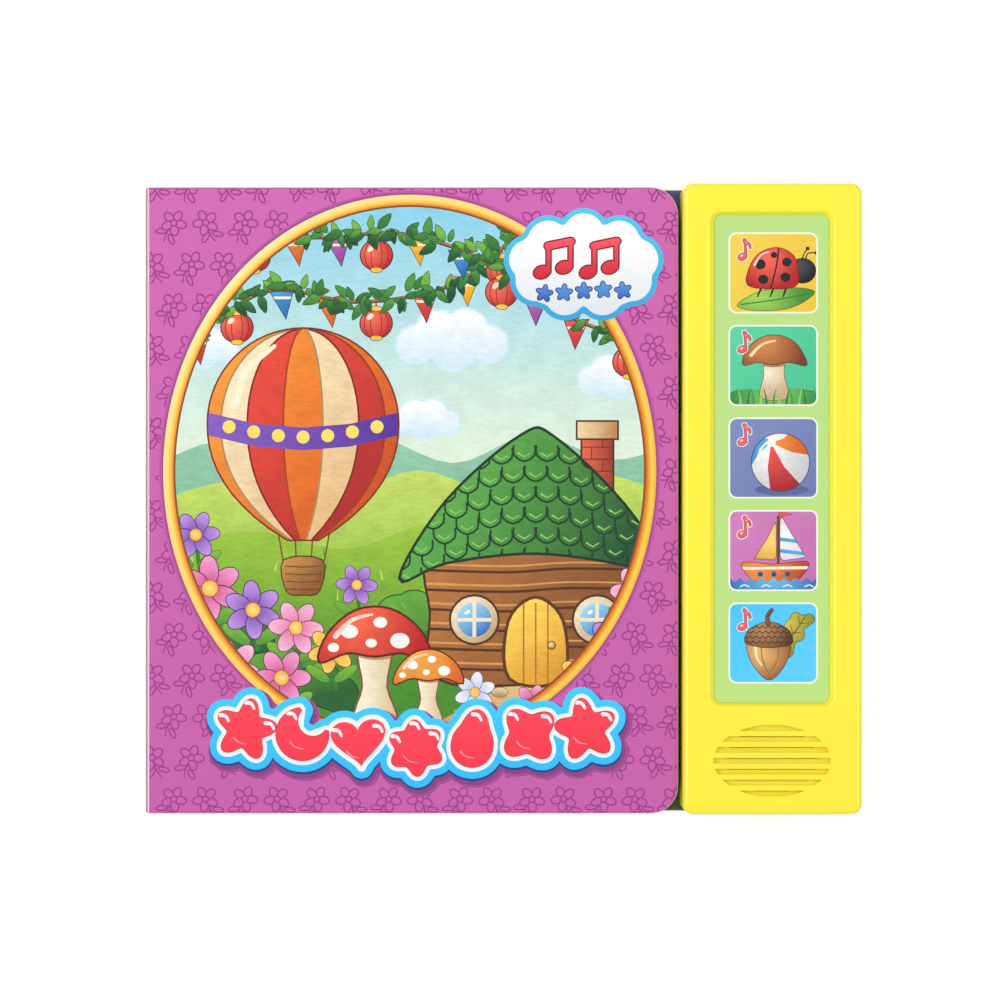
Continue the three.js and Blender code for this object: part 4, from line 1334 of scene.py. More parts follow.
@dataclass
class CoverPicture:
    """The front cover's print: sprigs on magenta, a picture in a golden oval, a badge and a row of shapes."""

    oval_x: float = -26.2
    oval_y: float = 7.7
    oval_rx: float = 68.9
    oval_ry: float = 77.3
    ring: float = 2.9
    badge: Point = (22.4, 65.3)
    title_y: float = -67.0
    title_x: tuple[float, float] = (-76.0, 27.0)
    top: str = "d269b4"
    bottom: str = "c65faa"
    line: str = "a03c8c"

    def lay(self, reach: Reach) -> Print:
        """Lays the whole print.

        Args:
            reach: The cover's limits.

        Returns:
            The print.
        """
        ground = slope(self.bottom, self.top, (0, reach.y0), (0, reach.y1))
        plate = Print(ground)
        pictures = Pictures(plate)
        pictures.pattern((reach.x0, reach.x1, reach.y0, reach.y1), flat(self.line), ground, self.covered)
        # Painted highlight: a pale pink line along the spine edge, where the rounded fold catches the light.
        spine_edge_highlight = [(reach.x0 + 0.1, reach.y0), (reach.x0 + 0.75, reach.y0), (reach.x0 + 0.75, reach.y1),
                  (reach.x0 + 0.1, reach.y1)]
        plate.lay(spine_edge_highlight, flat("f0bfdc"))
        # Painted shade: a darker line along the top edge, where the board's rounded edge falls in shade.
        rim = [(reach.x0 + 0.3, reach.y1 - 0.5), (reach.x1 - 8, reach.y1 - 0.5), (reach.x1 - 8, reach.y1),
               (reach.x0 + 0.3, reach.y1)]
        plate.lay(rim, flat("b0669a"))
        self.lay_oval(plate, pictures)
        self.lay_badge(plate, pictures)
        self.lay_title(plate)
        return plate

    def covered(self, x: float, y: float) -> bool:
        """Whether a sprig's place lies under the oval or the badge."""
        reach = ((x - self.oval_x) / (self.oval_rx - 4.5)) ** 2 + ((y - self.oval_y) / (self.oval_ry - 4.5)) ** 2
        badge = ((x - self.badge[0]) / 17) ** 2 + ((y - self.badge[1]) / 11) ** 2
        return reach < 1 or badge < 1

    def oval(self, inset: float, count: int = 144) -> Outline:
        """The oval, smaller by an inset all round."""
        return ellipse(self.oval_x, self.oval_y, self.oval_rx - inset, self.oval_ry - inset, 0, count)

    def lay_oval(self, plate: Print, pictures: Pictures) -> None:
        """Lays the golden oval and what it frames.

        Args:
            plate: Where it goes.
            pictures: The motifs.
        """
        for k in range(3):
            plate.lay(self.oval(-1.2 + 0.4 * k), flat(("c25ca4", "b4529a", "a1458a")[k]))
        lit = (self.oval_x - 0.7 * self.oval_rx, self.oval_y + 0.7 * self.oval_ry)
        bands = (("fff6b8", "f6b93c"), ("fff3a6", "fbc94a"), ("ffe98c", "ffd555"), ("ffe07a", "fbb53a"),
                 ("ffd35c", "f08f22"), ("f7a83a", "d9701c"))
        for k, (near, far) in enumerate(bands):
            plate.lay(self.oval(self.ring * k / len(bands)), glow(near, far, lit, 1.9 * self.oval_rx))
        sky = slope("eef8d8", "86d3ee", (0, self.oval_y - 8), (0, self.oval_y + self.oval_ry))
        inside = plate.lay(self.oval(self.ring), sky, (), 0.5)
        scene = GardenScene(plate, pictures, inside)
        scene.lay()
        self.lay_inner_shadow(plate)

    def lay_inner_shadow(self, plate: Print) -> None:
        """The frame's thin dark line on the picture, as strips between two ovals."""
        outer, inner = self.oval(self.ring), self.oval(self.ring + 0.55)
        count = len(outer)
        for k in range(0, count, 4):
            picks = [(k + j) % count for j in range(5)]
            strip = [outer[p] for p in picks] + [inner[p] for p in reversed(picks)]
            plate.lay(strip, flat("8a4a1c"))

    def lay_badge(self, plate: Print, pictures: Pictures) -> None:
        """Lays the cloud badge with notes and stars.

        Args:
            plate: Where it goes.
            pictures: The motifs, not used.
        """
        x, y = self.badge
        rx, ry, lobes = 15.4, 8.8, 9
        discs = [(x + shift, y, 11.4) for shift in (-7.5, 0.0, 7.5)]
        for k in range(lobes):
            angle = 2 * math.pi * (k + 0.25) / lobes
            discs.append((x + rx * math.cos(angle), y + ry * math.sin(angle), 5.7))
        spread = [(a, b, r + 1.5) for a, b, r in discs]
        plate.lay(cloud(x + 0.6, y - 0.9, spread, 96), flat("9a4488"))
        plate.lay(cloud(x, y, spread, 96), slope("36a8dd", "58caf4", (x, y - 15), (x, y + 15)))
        plate.lay(cloud(x, y, discs, 96), slope("dfe6ee", "ffffff", (x, y - 14), (x, y + 6)))
        for px, size in ((x - 7.2, 5.6), (x + 5.6, 5.6)):
            for edge, shade in ((1.1, flat("ffffff")), (0.45, flat("8f1c2c"))):
                self.beamed(plate, px, y + 2.2, size, edge, shade)
            self.beamed(plate, px, y + 2.2, size, 0.0, slope("d42436", "ff5a68", (px, y - 3), (px, y + 8)))
        for k, colour in enumerate(("2f56b4", "3f7fd0", "2f56b4", "3f7fd0", "2f56b4")):
            px = x - 11.0 + 5.5 * k
            shape = moved(star(5, 0.24), px, y - 7.4 - 0.5 * math.cos(k), 2.4, -10 + 5 * k)
            plate.rimmed(shape, slope(colour, "5f98e4", (px, y - 10), (px, y - 5)), "16306e", 0.25)

    def beamed(self, plate: Print, x: float, y: float, size: float, edge: float, shade: Shade) -> None:
        """Two notes under one beam.

        Args:
            plate: Where they go.
            x: Middle across.
            y: Middle up.
            size: Half height.
            edge: A border round them.
            shade: Their colour.
        """
        for side in (-1, 1):
            foot_x, foot_y = x + side * 0.55 * size, y - 0.62 * size + side * 0.12 * size
            plate.lay(ellipse(foot_x - 0.25 * size, foot_y, 0.4 * size + edge, 0.3 * size + edge, 18), shade)
            stem = [(foot_x + 0.08 * size, foot_y), (foot_x + 0.08 * size, foot_y + 1.35 * size)]
            plate.lay(band(stem, 0.18 * size + 2 * edge), shade)
        beam_y = y + 0.68 * size
        beam = [(x - 0.5 * size, beam_y - 0.12 * size), (x + 0.66 * size, beam_y + 0.12 * size)]
        plate.lay(band(beam, 0.34 * size + 2 * edge), shade)

    def lay_title(self, plate: Print) -> None:
        """Lays the wavy row of seven glossy shapes, each with its white and blue borders."""
        shapes = [star(5, 0.2), crescent(), heart(), star(6, 0.13), drop(), star(4, 0.17), star(5, 0.2)]
        sizes = [8.7, 7.4, 7.4, 7.9, 8.8, 8.3, 8.8]
        turns = [-12, 6, 6, 4, -10, 40, 10]
        span = self.title_x[1] - self.title_x[0]
        placed = []
        for k, (shape, size, turn) in enumerate(zip(shapes, sizes, turns)):
            share = k / (len(shapes) - 1)
            x = self.title_x[0] + 4 + (span - 8) * share
            y = self.title_y + 2.6 * math.cos(2 * math.pi * share)
            placed.append((x, y, moved(shape, x, y, size, turn)))
        layers = ((4.3, 0.8, -1.4, flat("a04a92")), (3.9, 0.4, -1.1, flat("8e3d80")),
                  (3.3, 0.1, -0.6, flat("17408f")),
                  (3.2, 0.0, 0.0, None), (1.3, 0.0, 0.0, flat("f4f4f6")))
        for amount, right, up, shade in layers:
            for x, y, shape in placed:
                chosen = shade or slope("2fbdf6", "40ccff", (x, y - 12), (x, y + 10))
                plate.lay(moved(grown(shape, amount, 132), right, up), chosen)
        for x, y, shape in placed:
            plate.lay(bordered(shape, 0.16), flat("b3202e"))
            body = plate.lay(shape, slope("f5364a", "ff4458", (x, y - 8), (x, y + 8)))
            reach = 0.78 * max(math.dist(p, (x, y)) for p in shape)
            for angle, size in self.glints(shape, x, y):
                px, py = x + reach * math.cos(angle), y + reach * math.sin(angle)
                arc = curved([(px - size, py + 0.75 * size), (px + 0.3 * size, py + 0.5 * size),
                              (px + size, py - 0.7 * size)], 4, False)
                plate.lay(band(arc, size, 0.6 * size), flat("fff4f4"), [body])
            low = curved([(x - 3.4, y - 2.2), (x - 2.0, y - 3.6), (x + 0.2, y - 4.1)], 4, False)
            plate.lay(band(low, 0.5, 0.25), flat("ff8d96"), [body])

    def glints(self, shape: Outline, x: float, y: float) -> list[tuple[float, float]]:
        """Finds where a glossy shape shines: on each lobe that reaches up.

        Args:
            shape: The outline.
            x: Its middle across.
            y: Its middle up.

        Returns:
            The direction of each glint from the middle, and its size.
        """
        count = len(shape)
        far = [math.dist(p, (x, y)) for p in shape]
        found = []
        for k, (px, py) in enumerate(shape):
            lobe = far[k] >= max(far[k - j] for j in range(1, 5)) and far[k] > max(
                far[(k + j) % count] for j in range(1, 5))
            if lobe and py > y + 1.0 and far[k] > 0.7 * max(far):
                found.append((math.atan2(py - y, px - x), 1.15))
        return found[:3]


@dataclass
class GardenScene:
    """The generic picture in the oval: a balloon, a cottage, flags, flowers and toadstools."""

    plate: Print
    pictures: Pictures
    inside: int
    place: tuple[float, float, float] = (0.0, 0.0, 1.0)

    def lay(self) -> None:
        """Lays the picture from the back to the front."""
        self.land()
        self.flags()
        self.balloon(-56.0, 21.0, 26.5)
        self.place = (9.0, -50.0, 1.3)
        self.cottage(0.0, 0.0, 50.0)
        self.place = (0.0, 0.0, 1.0)
        self.front()

    def put(self, outline: Outline, shade: Shade, painted: float = 0.8, within: Sequence[int] = ()) -> int:
        """Lays a painted shape inside the oval, where place has put the motif."""
        x, y, scale = self.place
        placed = moved(outline, x, y, scale)
        return self.plate.lay(placed, lambda a, b: shade((a - x) / scale, (b - y) / scale),
                              [self.inside, *within], painted)

    def edged(self, outline: Outline, shade: Shade, rim: str, width: float = 0.35) -> int:
        """Lays a painted shape inside the oval, with a thin dark edge."""
        self.put(bordered(outline, width), flat(rim))
        return self.put(outline, shade)

    def land(self) -> None:
        """Sky, clouds, hills and the path."""
        for x, y, size in ((-14, 44, 17), (-84, 42, 11), (32, 34, 12), (-22, 22, 11)):
            self.pictures.puff(x, y, size, [self.inside])
        hills = (
            ((-100, 8), (-80, 16), (-58, 10), (-38, 18), (-14, 10), (8, 18), (30, 11), (46, 15), "9fd0b4",
             "5fae86"),
            ((-100, -2), (-76, 5), (-50, 0), (-24, 8), (0, 1), (26, 7), (46, 1), (48, -2), "cfe26a",
             "7fb63a"),
            ((-100, -16), (-72, -9), (-44, -14), (-20, -7), (6, -13), (30, -7), (46, -12), (48, -14),
             "a6cf3e", "458c28"),
        )
        for *ridge, light, dark in hills:
            line = curved(ridge, 5, closed=False)
            low = min(y for _, y in ridge)
            self.put([*line, (48, -75), (-100, -75)], slope(dark, light, (0, low - 30), (0, low + 14)))
        for k in range(70):
            x, y = self.pictures.draw.uniform(-92, 40), self.pictures.draw.uniform(-56, -16)
            lean = self.pictures.draw.uniform(-0.8, 0.8)
            blade = band([(x, y), (x + lean * 0.5, y + 1.5), (x + lean, y + 2.8)], 0.5, 0.12)
            self.put(blade, flat(("4f9a2c", "c6e25c", "7cb83a")[k % 3]))
        path = curved([(6, -34), (-3, -42), (2, -50), (-14, -60), (-30, -70), (2, -72), (16, -60), (12, -50),
                       (13, -42), (14, -34)], 5)
        self.put(path, slope("f3dba0", "c99c5c", (5, -34), (-10, -66)))
        for x, y, size in ((2, -44, 1.5), (7, -48, 1.8), (-1, -54, 2.2), (5, -58, 2.4), (-9, -61, 2.5)):
            self.edged(ellipse(x, y, size, size * 0.6), slope("e9d2a6", "a98658", (x, y + 1), (x, y - 1.5)),
                       "93713f", 0.2)

    def flags(self) -> None:
        """Two leafy garlands with small flags and red lanterns across the sky."""
        colours = (("f2574d", "c02a2e"), ("ffd23f", "e89a1c"), ("4aa8e0", "2266b0"), ("f58a3a", "cf5a1c"),
                   ("c66fc0", "8d3c94"))
        draw = self.pictures.draw
        swags = (((-88, 44), (-66, 58), (-40, 55), (-14, 60), (4, 74)), ((-72, 74), (-50, 73), (-28, 74),
                                                                         (-4, 66),
                                                                        (16, 52), (42, 42)))
        for row, knots in enumerate(swags):
            line = curved(knots, 12, closed=False)
            for k in range(2, len(line) - 3, 6):
                x, y = line[k]
                if (k // 6 + row) % 3 == 1:
                    self.lantern(x, y - 6.2, 4.4)
                    continue
                light, dark = colours[(k // 6 + 2 * row) % len(colours)]
                shape = moved([(-3.4, 0.2), (-1.7, -3.8), (0, -8.0), (1.7, -3.8), (3.4, 0.2), (0, -0.2)], x,
                              y,
                              turn=8 * math.sin(k))
                flag = self.edged(shape, slope(light, dark, (x - 2, y), (x + 2.4, y - 6)),
                                  shade_of(dark, 0.6), 0.25)
                self.put(band([(x - 4, y - 2.2), (x + 4, y - 2.2)], 0.7), flat("fff1cf"), 0.5, [flag])
            self.put(band(line, 1.1), flat("6e4424"))
            self.put(band([(x, y + 0.2) for x, y in line], 0.4), flat("b98048"))
            for x, y in line:
                for _ in range(2):
                    tone = draw.choice((("4f9a3c", "1f5a2a"), ("7cb848", "2f7a34"), ("3a8238", "164a24")))
                    turn = draw.uniform(0, 360)
                    leaf = curved([(0, 0), (2.0, 1.15), (4.9, 0), (2.0, -1.15)], 3)
                    lx, ly = x + draw.uniform(-1, 1), y + draw.uniform(-0.6, 1.6)
                    placed = moved(leaf, lx, ly, draw.uniform(0.7, 1.15), turn)
                    self.edged(placed, slope(tone[0], tone[1], (lx, ly + 2), (lx, ly - 2.5)), "12381c", 0.16)

    def lantern(self, x: float, y: float, radius: float) -> None:
        """A round red paper lantern on a short string.

        Args:
            x: Middle across.
            y: Middle up.
            radius: Half width.
        """
        self.put(band([(x, y + radius + 2), (x, y + radius - 0.4)], 0.4), flat("6e4424"))
        lit = (x - 0.35 * radius, y + 0.4 * radius)
        globe = self.edged(ellipse(x, y, radius, 0.94 * radius, 0, 32), glow("ff7a5c", "bb1a24", lit,
                                                                             1.5 * radius),
                           "5c0f16", 0.3)
        for width in (0.35, 0.75):
            for side in (-1, 1):
                arc = [(x + side * width * radius * math.cos(math.radians(a)),
                        y + radius * math.sin(math.radians(a)))
                       for a in range(-80, 81, 16)]
                self.put(band(arc, 0.25), flat("9c1420"), 0.5, [globe])
        self.put(ellipse(x - 0.38 * radius, y + 0.42 * radius, 0.26 * radius, 0.16 * radius, 40, 12),
                 flat("ffe3d0"),
                 0.3, [globe])
        for level in (-1, 1):
            self.edged(ellipse(x, y + level * 0.93 * radius, 0.36 * radius, 0.15 * radius, 0, 16),
                       flat("ffc94a"),
                       "7a4a12", 0.2)

    def balloon(self, x: float, y: float, radius: float) -> None:
        """A striped balloon with a basket, its middle at x, y.

        Args:
            x: Across.
            y: Up.
            radius: Half width.
        """
        def at(shape: Outline) -> Outline:
            """Sets a shape at the middle, in the balloon's size."""
            return moved(shape, x, y, radius)
        for sx in (-0.3, -0.1, 0.12, 0.32):
            rope = [(x + sx * 0.9 * radius, y - 1.1 * radius), (x + sx * 0.7 * radius, y - 1.45 * radius)]
            self.put(band(rope, 0.45), flat("7a4c28"))
        levels = [math.sin(math.radians(5.625 * j)) for j in range(17)]
        levels = [-1.22 + 0.122 * j for j in range(10)] + levels

        def side_line(share: float) -> Outline:
            """A seam from the mouth to the top, at a share of the half width."""
            widths = [math.sqrt(max(1 - t * t,
                                    0)) if t > 0 else (1 - (-t / 1.3) ** 2.2) ** 0.9 for t in levels]
            return [(share * w, t) for w, t in zip(widths, levels)]
        body = self.edged(at(side_line(1.0)[:-1] + side_line(-1.0)[::-1]), flat("e8702a"), "7c2d12", 0.5)
        stripes = (("ffa23a", "d9541a"), ("fff1c9", "e9b77a"), ("f4503c", "b32420"), ("ff9a34", "d9541a"),
                   ("fff1c9", "e9b77a"), ("f4503c", "a81f22"), ("ff8a2e", "c94a18"))
        edges = [math.sin(math.radians(a)) for a in (-90, -60, -36, -12, 12, 36, 60, 90)]
        for k, (light, dark) in enumerate(stripes):
            shade = slope(light, dark, (x - 0.9 * radius, y + 0.8 * radius), (x + 0.8 * radius,
                                                                              y - 0.8 * radius))
            piece = side_line(edges[k + 1])[:-1] + side_line(edges[k])[::-1]
            self.put(at(piece), shade, 0.8, [body])
            if k:
                self.put(at(band(side_line(edges[k])[:-1], 0.02)), flat(shade_of(dark, 0.75)), 0.5, [body])
        waist = [(-1.1, -0.1), (-0.5, -0.24), (0, -0.28), (0.5, -0.24), (1.1, -0.1), (1.1, 0.14), (0.5, 0.0),
                 (0, -0.04), (-0.5, 0.0), (-1.1, 0.14)]
        self.put(at(waist), slope("8a5fc4", "54309a", (x - radius, y), (x + radius, y)), 0.8, [body])
        for k in range(7):
            px, py = -0.78 + 0.26 * k, -0.14 + 0.1 * (1 - math.cos((k - 3) * 0.55))
            self.put(at(ellipse(px, py, 0.07, 0, 0, 12)), flat("ffe26a"), 0.5, [body])
        gleam = curved([(-0.72, 0.2), (-0.6, 0.55), (-0.3, 0.82)], 4, False)
        self.put(at(band(gleam, 0.1, 0.04)), flat("fff3d6"), 0.3, [body])
        basket = at(curved([(-0.2, -1.44), (0.2, -1.44), (0.17, -1.76), (0.0, -1.8), (-0.17, -1.76)], 4))
        weave = self.edged(basket, slope("d89a52", "8a5326", (x - 4, y - 34), (x + 5, y - 42)), "4f2c12",
                           0.35)
        for k in range(4):
            row_y = y - (1.5 + 0.08 * k) * radius
            self.put(band([(x - 5, row_y), (x, row_y - 0.3), (x + 5, row_y)], 0.3), flat("6b3c1a"), 0.4,
                     [weave])

    def cottage(self, x: float, y: float, width: float) -> None:
        """A timber cottage with a green roof, its foot at x, y.

        Args:
            x: Middle across.
            y: Foot up.
            width: Of the walls.
        """
        half = width * 0.42
        for side in (-1, 1):
            self.pictures.bush(9 + side * 34, -48, 28, 26, ("6fb63c", "2c7030"), [self.inside])
        walls = curved([(x - half, y), (x - half - 1.5, y + 14), (x - half - 1, y + 27), (x, y + 30),
                        (x + half + 1, y + 27), (x + half + 1.5, y + 14), (x + half, y), (x, y - 1.2)], 5)
        wall = self.edged(walls, slope("b8753a", "6d3c1c", (x - half, y + 26), (x + half, y)), "3d1e0c", 0.5)
        for k in range(7):
            log_y = y + 2.2 + 4.2 * k
            line = curved([(x - half - 3, log_y), (x - 6, log_y - 0.5), (x + 7, log_y + 0.3), (x + half + 3,
                                                                                               log_y)],
                          4, False)
            self.put(band(line, 0.55), flat("4e2812"), 0.8, [wall])
            self.put(band([(a, b + 1.3) for a, b in line], 0.5, 0.3), flat("d99a58"), 0.8, [wall])
        door = curved([(x - 5.4, y), (x - 5.6, y + 12), (x, y + 17), (x + 5.6, y + 12), (x + 5.4, y)], 5)
        panel = self.edged(door, slope("ffd75a", "e0982a", (x - 5, y + 14), (x + 5, y)), "5c3010", 0.7)
        for dx in (-2.6, 0.0, 2.6):
            self.put(band([(x + dx, y - 1), (x + dx, y + 16)], 0.35), flat("b9741e"), 0.8, [panel])
        self.edged(ellipse(x + 3.4, y + 7, 0.75), glow("fff2b8", "b57a18", (x + 3.2, y + 7.3), 1), "4d2a0e",
                   0.2)
        for side in (-1, 1):
            cx, cy = x + side * 13.2, y + 12.5
            frame = self.edged(ellipse(cx, cy, 5.0), slope("f6e7c8", "c8a468", (cx - 3, cy + 4), (cx + 4,
                                                                                                  cy - 4)),
                               "4e2a12", 0.5)
            pane = self.put(ellipse(cx, cy, 3.7), slope("2f6fc0", "9fdcf8", (cx + 2, cy - 3), (cx - 2,
                                                                                               cy + 3)),
                            0.5, [frame])
            for tilt in (0, 90):
                ends = [moved([(k * 4.0, 0)], cx, cy, turn=tilt)[0] for k in (-1, 1)]
                self.put(band(ends, 0.8), flat("f6e7c8"), 0.4, [pane])
            self.put(ellipse(cx - 1.5, cy + 1.6, 0.7, 0.4, 35, 10), flat("f4fdff"), 0.0, [pane])
        chimney = [(x + 10, y + 30), (x + 16.5, y + 30), (x + 16.5, y + 53), (x + 10, y + 53)]
        stack = self.edged(chimney, slope("e2694a", "963420", (x + 10, y), (x + 17, y)), "4b150c", 0.4)
        for k in range(7):
            course = y + 34 + 2.6 * k
            self.put(band([(x + 9, course), (x + 17, course)], 0.25), flat("7c2a1a"), 0.5, [stack])
            joint = x + (12 if k % 2 else 14.4)
            self.put(band([(joint, course), (joint, course + 2.6)], 0.25), flat("7c2a1a"), 0.5, [stack])
        self.edged([(x + 9, y + 51.5), (x + 17.5, y + 51.5), (x + 17.5, y + 55), (x + 9, y + 55)],
                   slope("f7d9a8", "c08a50", (x + 9, y), (x + 17, y)), "4b2a12", 0.4)
        roof = curved([(x - half - 8, y + 21.5), (x - half + 2, y + 38), (x - 3, y + 52), (x + 4, y + 51.5),
                       (x + half - 2, y + 37), (x + half + 8, y + 21), (x + half - 2, y + 24.5), (x, y + 27),
                       (x - half + 2, y + 25)], 6)
        cover = self.edged(roof, slope("5fae4a", "174d2a", (x - 16, y + 46), (x + 18, y + 24)), "0e2e18", 0.6)
        for row in range(6):
            for k in range(-7, 8):
                tx = x + 4.9 * (k + 0.5 * (row % 2))
                ty = y + 25.5 + 4.4 * row - 0.012 * (tx - x) ** 2
                tile = [(tx - 2.3, ty + 2.4), (tx - 2.2, ty + 0.4), (tx, ty - 0.9), (tx + 2.2, ty + 0.4),
                        (tx + 2.3, ty + 2.4)]
                self.put(band(curved(tile, 2, False), 0.45), flat("103a1e"), 0.6, [cover])
                self.put(band([(tx - 1.3, ty + 0.9), (tx, ty + 0.1), (tx + 1.3, ty + 0.9)], 0.4, 0.2),
                         flat("8fce62"), 0.6, [cover])

    def front(self) -> None:
        """Bushes, toadstools and flowers in front."""
        bushes = ((-84, -46, 28, 24), (40, -50, 24, 24), (-62, -60, 32, 20))
        for x, y, width, height in bushes:
            self.pictures.bush(x, y, width, height, ("6cb23a", "1f5e28"), [self.inside])
        pinks = (("f9a8d8", "d0307f"), ("c99aec", "6a2fa0"), ("ffc4e0", "e0509a"), ("fff6fb", "a9c6f4"),
                 ("ffe06a", "ef7a1c"))
        blooms = ((-86, -10, 7.0, 1), (-82, -25, 9.5, 0), (-70, -31, 8.5, 1), (-58, -36, 8.0, 2),
                  (-76, -47, 8.5, 2), (-48, -42, 7.0, 4), (-62, -50, 8.5, 0), (-41, -24, 6.0, 1), (37, -26,
                                                                                                   7.5, 2),
                  (31, -41, 8.5, 1), (22, -50, 7.0, 4), (-8, -54, 6.0, 3), (8, -57, 5.5, 0))
        for x, y, size, tone in blooms:
            self.pictures.flower(x, y, size, pinks[tone], "f0a01c", [self.inside], stem=11.0)
        self.pictures.toadstool(-36, -62, 32, ("ff6a4a", "b8141c"), [self.inside])
        self.pictures.toadstool(-21, -62, 20, ("ffb84a", "d9641c"), [self.inside])
        self.pictures.toadstool(22, -64, 17, ("ff6a4a", "b8141c"), [self.inside])


# The book


@dataclass
class BoardBook:
    """The boards: front cover, spine, leaves, back cover and the paper folds between them."""

    film: float = 0.12
    leaf_count: int = 4
    leaf: float = 1.6
    gap: float = 0.25
    fore_radius: float = 7.8
    spine_radius: float = 0.8

    def build(self) -> None:
        """Builds and dresses every board."""
        self.front_cover()
        self.spine()
        self.leaves()
        self.back_cover()
        self.folds()

    def front_cover(self) -> None:
        """The printed front board, with a plain sky print inside."""
        reach = Reach.of("front_cover")
        shape = rounded(reach.x0, reach.x1, reach.y0, reach.y1, self.spine_radius, self.fore_radius, 14)
        inside = Print(slope("fdf6d2", "9fdcf2", (0, reach.y0), (0, reach.y1)), 0.4)
        pictures = Pictures(inside)
        for x, y, size in ((-70, 55, 20), (-20, 66, 16), (22, 44, 20), (-44, 20, 16), (10, -4, 18), (-72, -22,
                                                                                                     15)):
            pictures.puff(x, y, size)
        board = Board("cover_board", shape, reach.z1, reach.z0, CoverPicture().lay(reach), inside)
        piece = make_object("cover_board", board.mesh())
        settle(piece, COVER_PAPER, "cover", ["front_cover"])

    def spine(self) -> None:
        """The narrow board between the two folds, covered with the cover's paper."""
        reach = Reach.of("spine")
        roll = 0.2
        under = reach.x0 + self.film + 0.06
        rings = [(z, rounded(under + i, reach.x1 - i, reach.y0 + i, reach.y1 - i, 0.3, 0.3, 4))
                 for z, i in ((reach.z0, roll), (reach.z0 + roll, 0), (reach.z1 - roll, 0), (reach.z1, roll))]
        piece = loft("spine_strip", rings)
        smooth_by_angle(piece.data, 50)
        paint(piece.data, slope(CoverPicture.bottom, CoverPicture.top, (0, reach.y0), (0, reach.y1)))
        settle(piece, COVER_PAPER, "pages", ["spine"])

    def leaves(self) -> None:
        """Board leaves in a stack, their binding strip, and the printed sheets on the first and last."""
        reach = Reach.of("page_block")
        roll = 0.18
        slack = 0.12

        def ring(inset: float) -> Outline:
            """A leaf's outline, smaller by an inset."""
            return rounded(reach.x0 + inset, reach.x1 - slack - inset, reach.y0 + slack + inset,
                           reach.y1 - slack - inset, self.spine_radius, self.fore_radius - slack, 12)
        z0, z1 = reach.z0, reach.z0 + self.leaf
        pattern = loft("leaf", [(z0, ring(roll)), (z0 + 0.3 * roll, ring(0.3 * roll)), (z0 + roll, ring(0)),
                                (z1 - roll, ring(0)), (z1 - 0.3 * roll, ring(0.3 * roll)), (z1, ring(roll))])
        smooth_by_angle(pattern.data, 50)
        stack = ROWS.make("leaf_stack", pattern, LEAF_BOARD, (self.leaf_count, (0, 0, self.leaf + self.gap)),
                          (1, (0, 0, 0)), (0, 0, 0), (slack, slack, 0))
        settle(stack, LEAF_BOARD, "pages", ["page_block"])
        binding = block("leaf_binding", (reach.x0 + 0.3, reach.x0 + 3.0), (reach.y0 + 0.6, reach.y1 - 0.6),
                        (reach.z0 + 0.4, reach.z1 - 0.4))
        settle(binding, LEAF_BOARD, "pages")
        for name, z, up in (("first_page_print", reach.z1, 1), ("last_page_print", reach.z0, -1)):
            shape = offset(ring(0), -0.4)
            board = Board(name, shape, z + up * self.film, z + up * 0.01, self.spread(reach),
                          Print(flat("f4f1ea")),
                          roll=0.03, core="f4f1ea")
            settle(make_object(name, board.mesh()), LEAF_PAPER, "pages")

    def spread(self, reach: Reach) -> Print:
        """A page's print: a pale sky over a meadow with flowers.

        Args:
            reach: The leaves' limits.

        Returns:
            The print.
        """
        plate = Print(slope("e6f6dc", "8ccfee", (0, 0), (0, reach.y1)), 0.5)
        pictures = Pictures(plate)
        for x, y, size in ((-70, 62, 18), (-12, 52, 22), (30, 66, 14)):
            pictures.puff(x, y, size)
        edge = 3.0
        for k, (light, dark) in enumerate((("cfe88a", "8fc653"), ("a5d455", "4f9a34"))):
            line = curved([(reach.x0 + edge, -8 - 16 * k), (-60, 2 - 18 * k), (-20, -7 - 14 * k),
                           (20, 3 - 18 * k),
                           (reach.x1 - edge, -6 - 14 * k)], 6, False)
            field_edge = [*line, (reach.x1 - edge, reach.y0 + 12), (reach.x1 - 12, reach.y0 + edge),
                          (reach.x0 + edge, reach.y0 + edge)]
            plate.lay(field_edge, slope(dark, light, (0, reach.y0), (0, 0)), (), 0.8)
        tones = (("f7b6dc", "d0408f"), ("fff0a8", "f0a020"), ("d9b3f0", "7d3fae"))
        for k in range(9):
            pictures.flower(-84 + 15.5 * k, -38 - 16 * (k % 3), 7.0, tones[k % 3], "f0a01c", stem=13.0)
        pictures.toadstool(-46, -78, 24, ("ff6a4a", "b8141c"))
        pictures.toadstool(18, -76, 20, ("ff9a4a", "c8501c"))
        return plate

    def back_cover(self) -> None:
        """The back board with its tab in the module, printed outside with sprigs and inside with two colours."""
        reach = Reach.of("back_cover")
        case = Reach.of("front_shell")
        wall_end = case.x0 + 1.6
        tab_inset = 1.9
        body = rounded(reach.x0 + self.film + 0.06, wall_end, reach.y0, reach.y1, self.spine_radius, 0.3, 6)
        half = len(body) // 4
        tab = [(wall_end, reach.y0 + tab_inset), (reach.x1, reach.y0 + tab_inset), (reach.x1,
                                                                                    reach.y1 - tab_inset),
               (wall_end, reach.y1 - tab_inset)]
        outline = body[:half] + tab + body[half:]
        boss_x = case.x0 + 4.4
        rows = [(case.y1 - 4.4) * k for k in (-1, 0, 1)]
        holes = [ellipse(boss_x, y, 2.8, 0, 0, 20) for y in rows]
        ground = slope(CoverPicture.bottom, CoverPicture.top, (0, reach.y0), (0, reach.y1))
        outside = Print(ground)
        limits = (reach.x0, case.x0 + 2, reach.y0, reach.y1)
        Pictures(outside).pattern(limits, flat(CoverPicture.line), ground, lambda x, y: x > case.x0 - 3)
        board = Board("back_board", outline, reach.z0, reach.z1, outside, self.evening(reach), holes=holes)
        settle(make_object("back_board", board.mesh()), COVER_PAPER, "case", ["back_cover"])

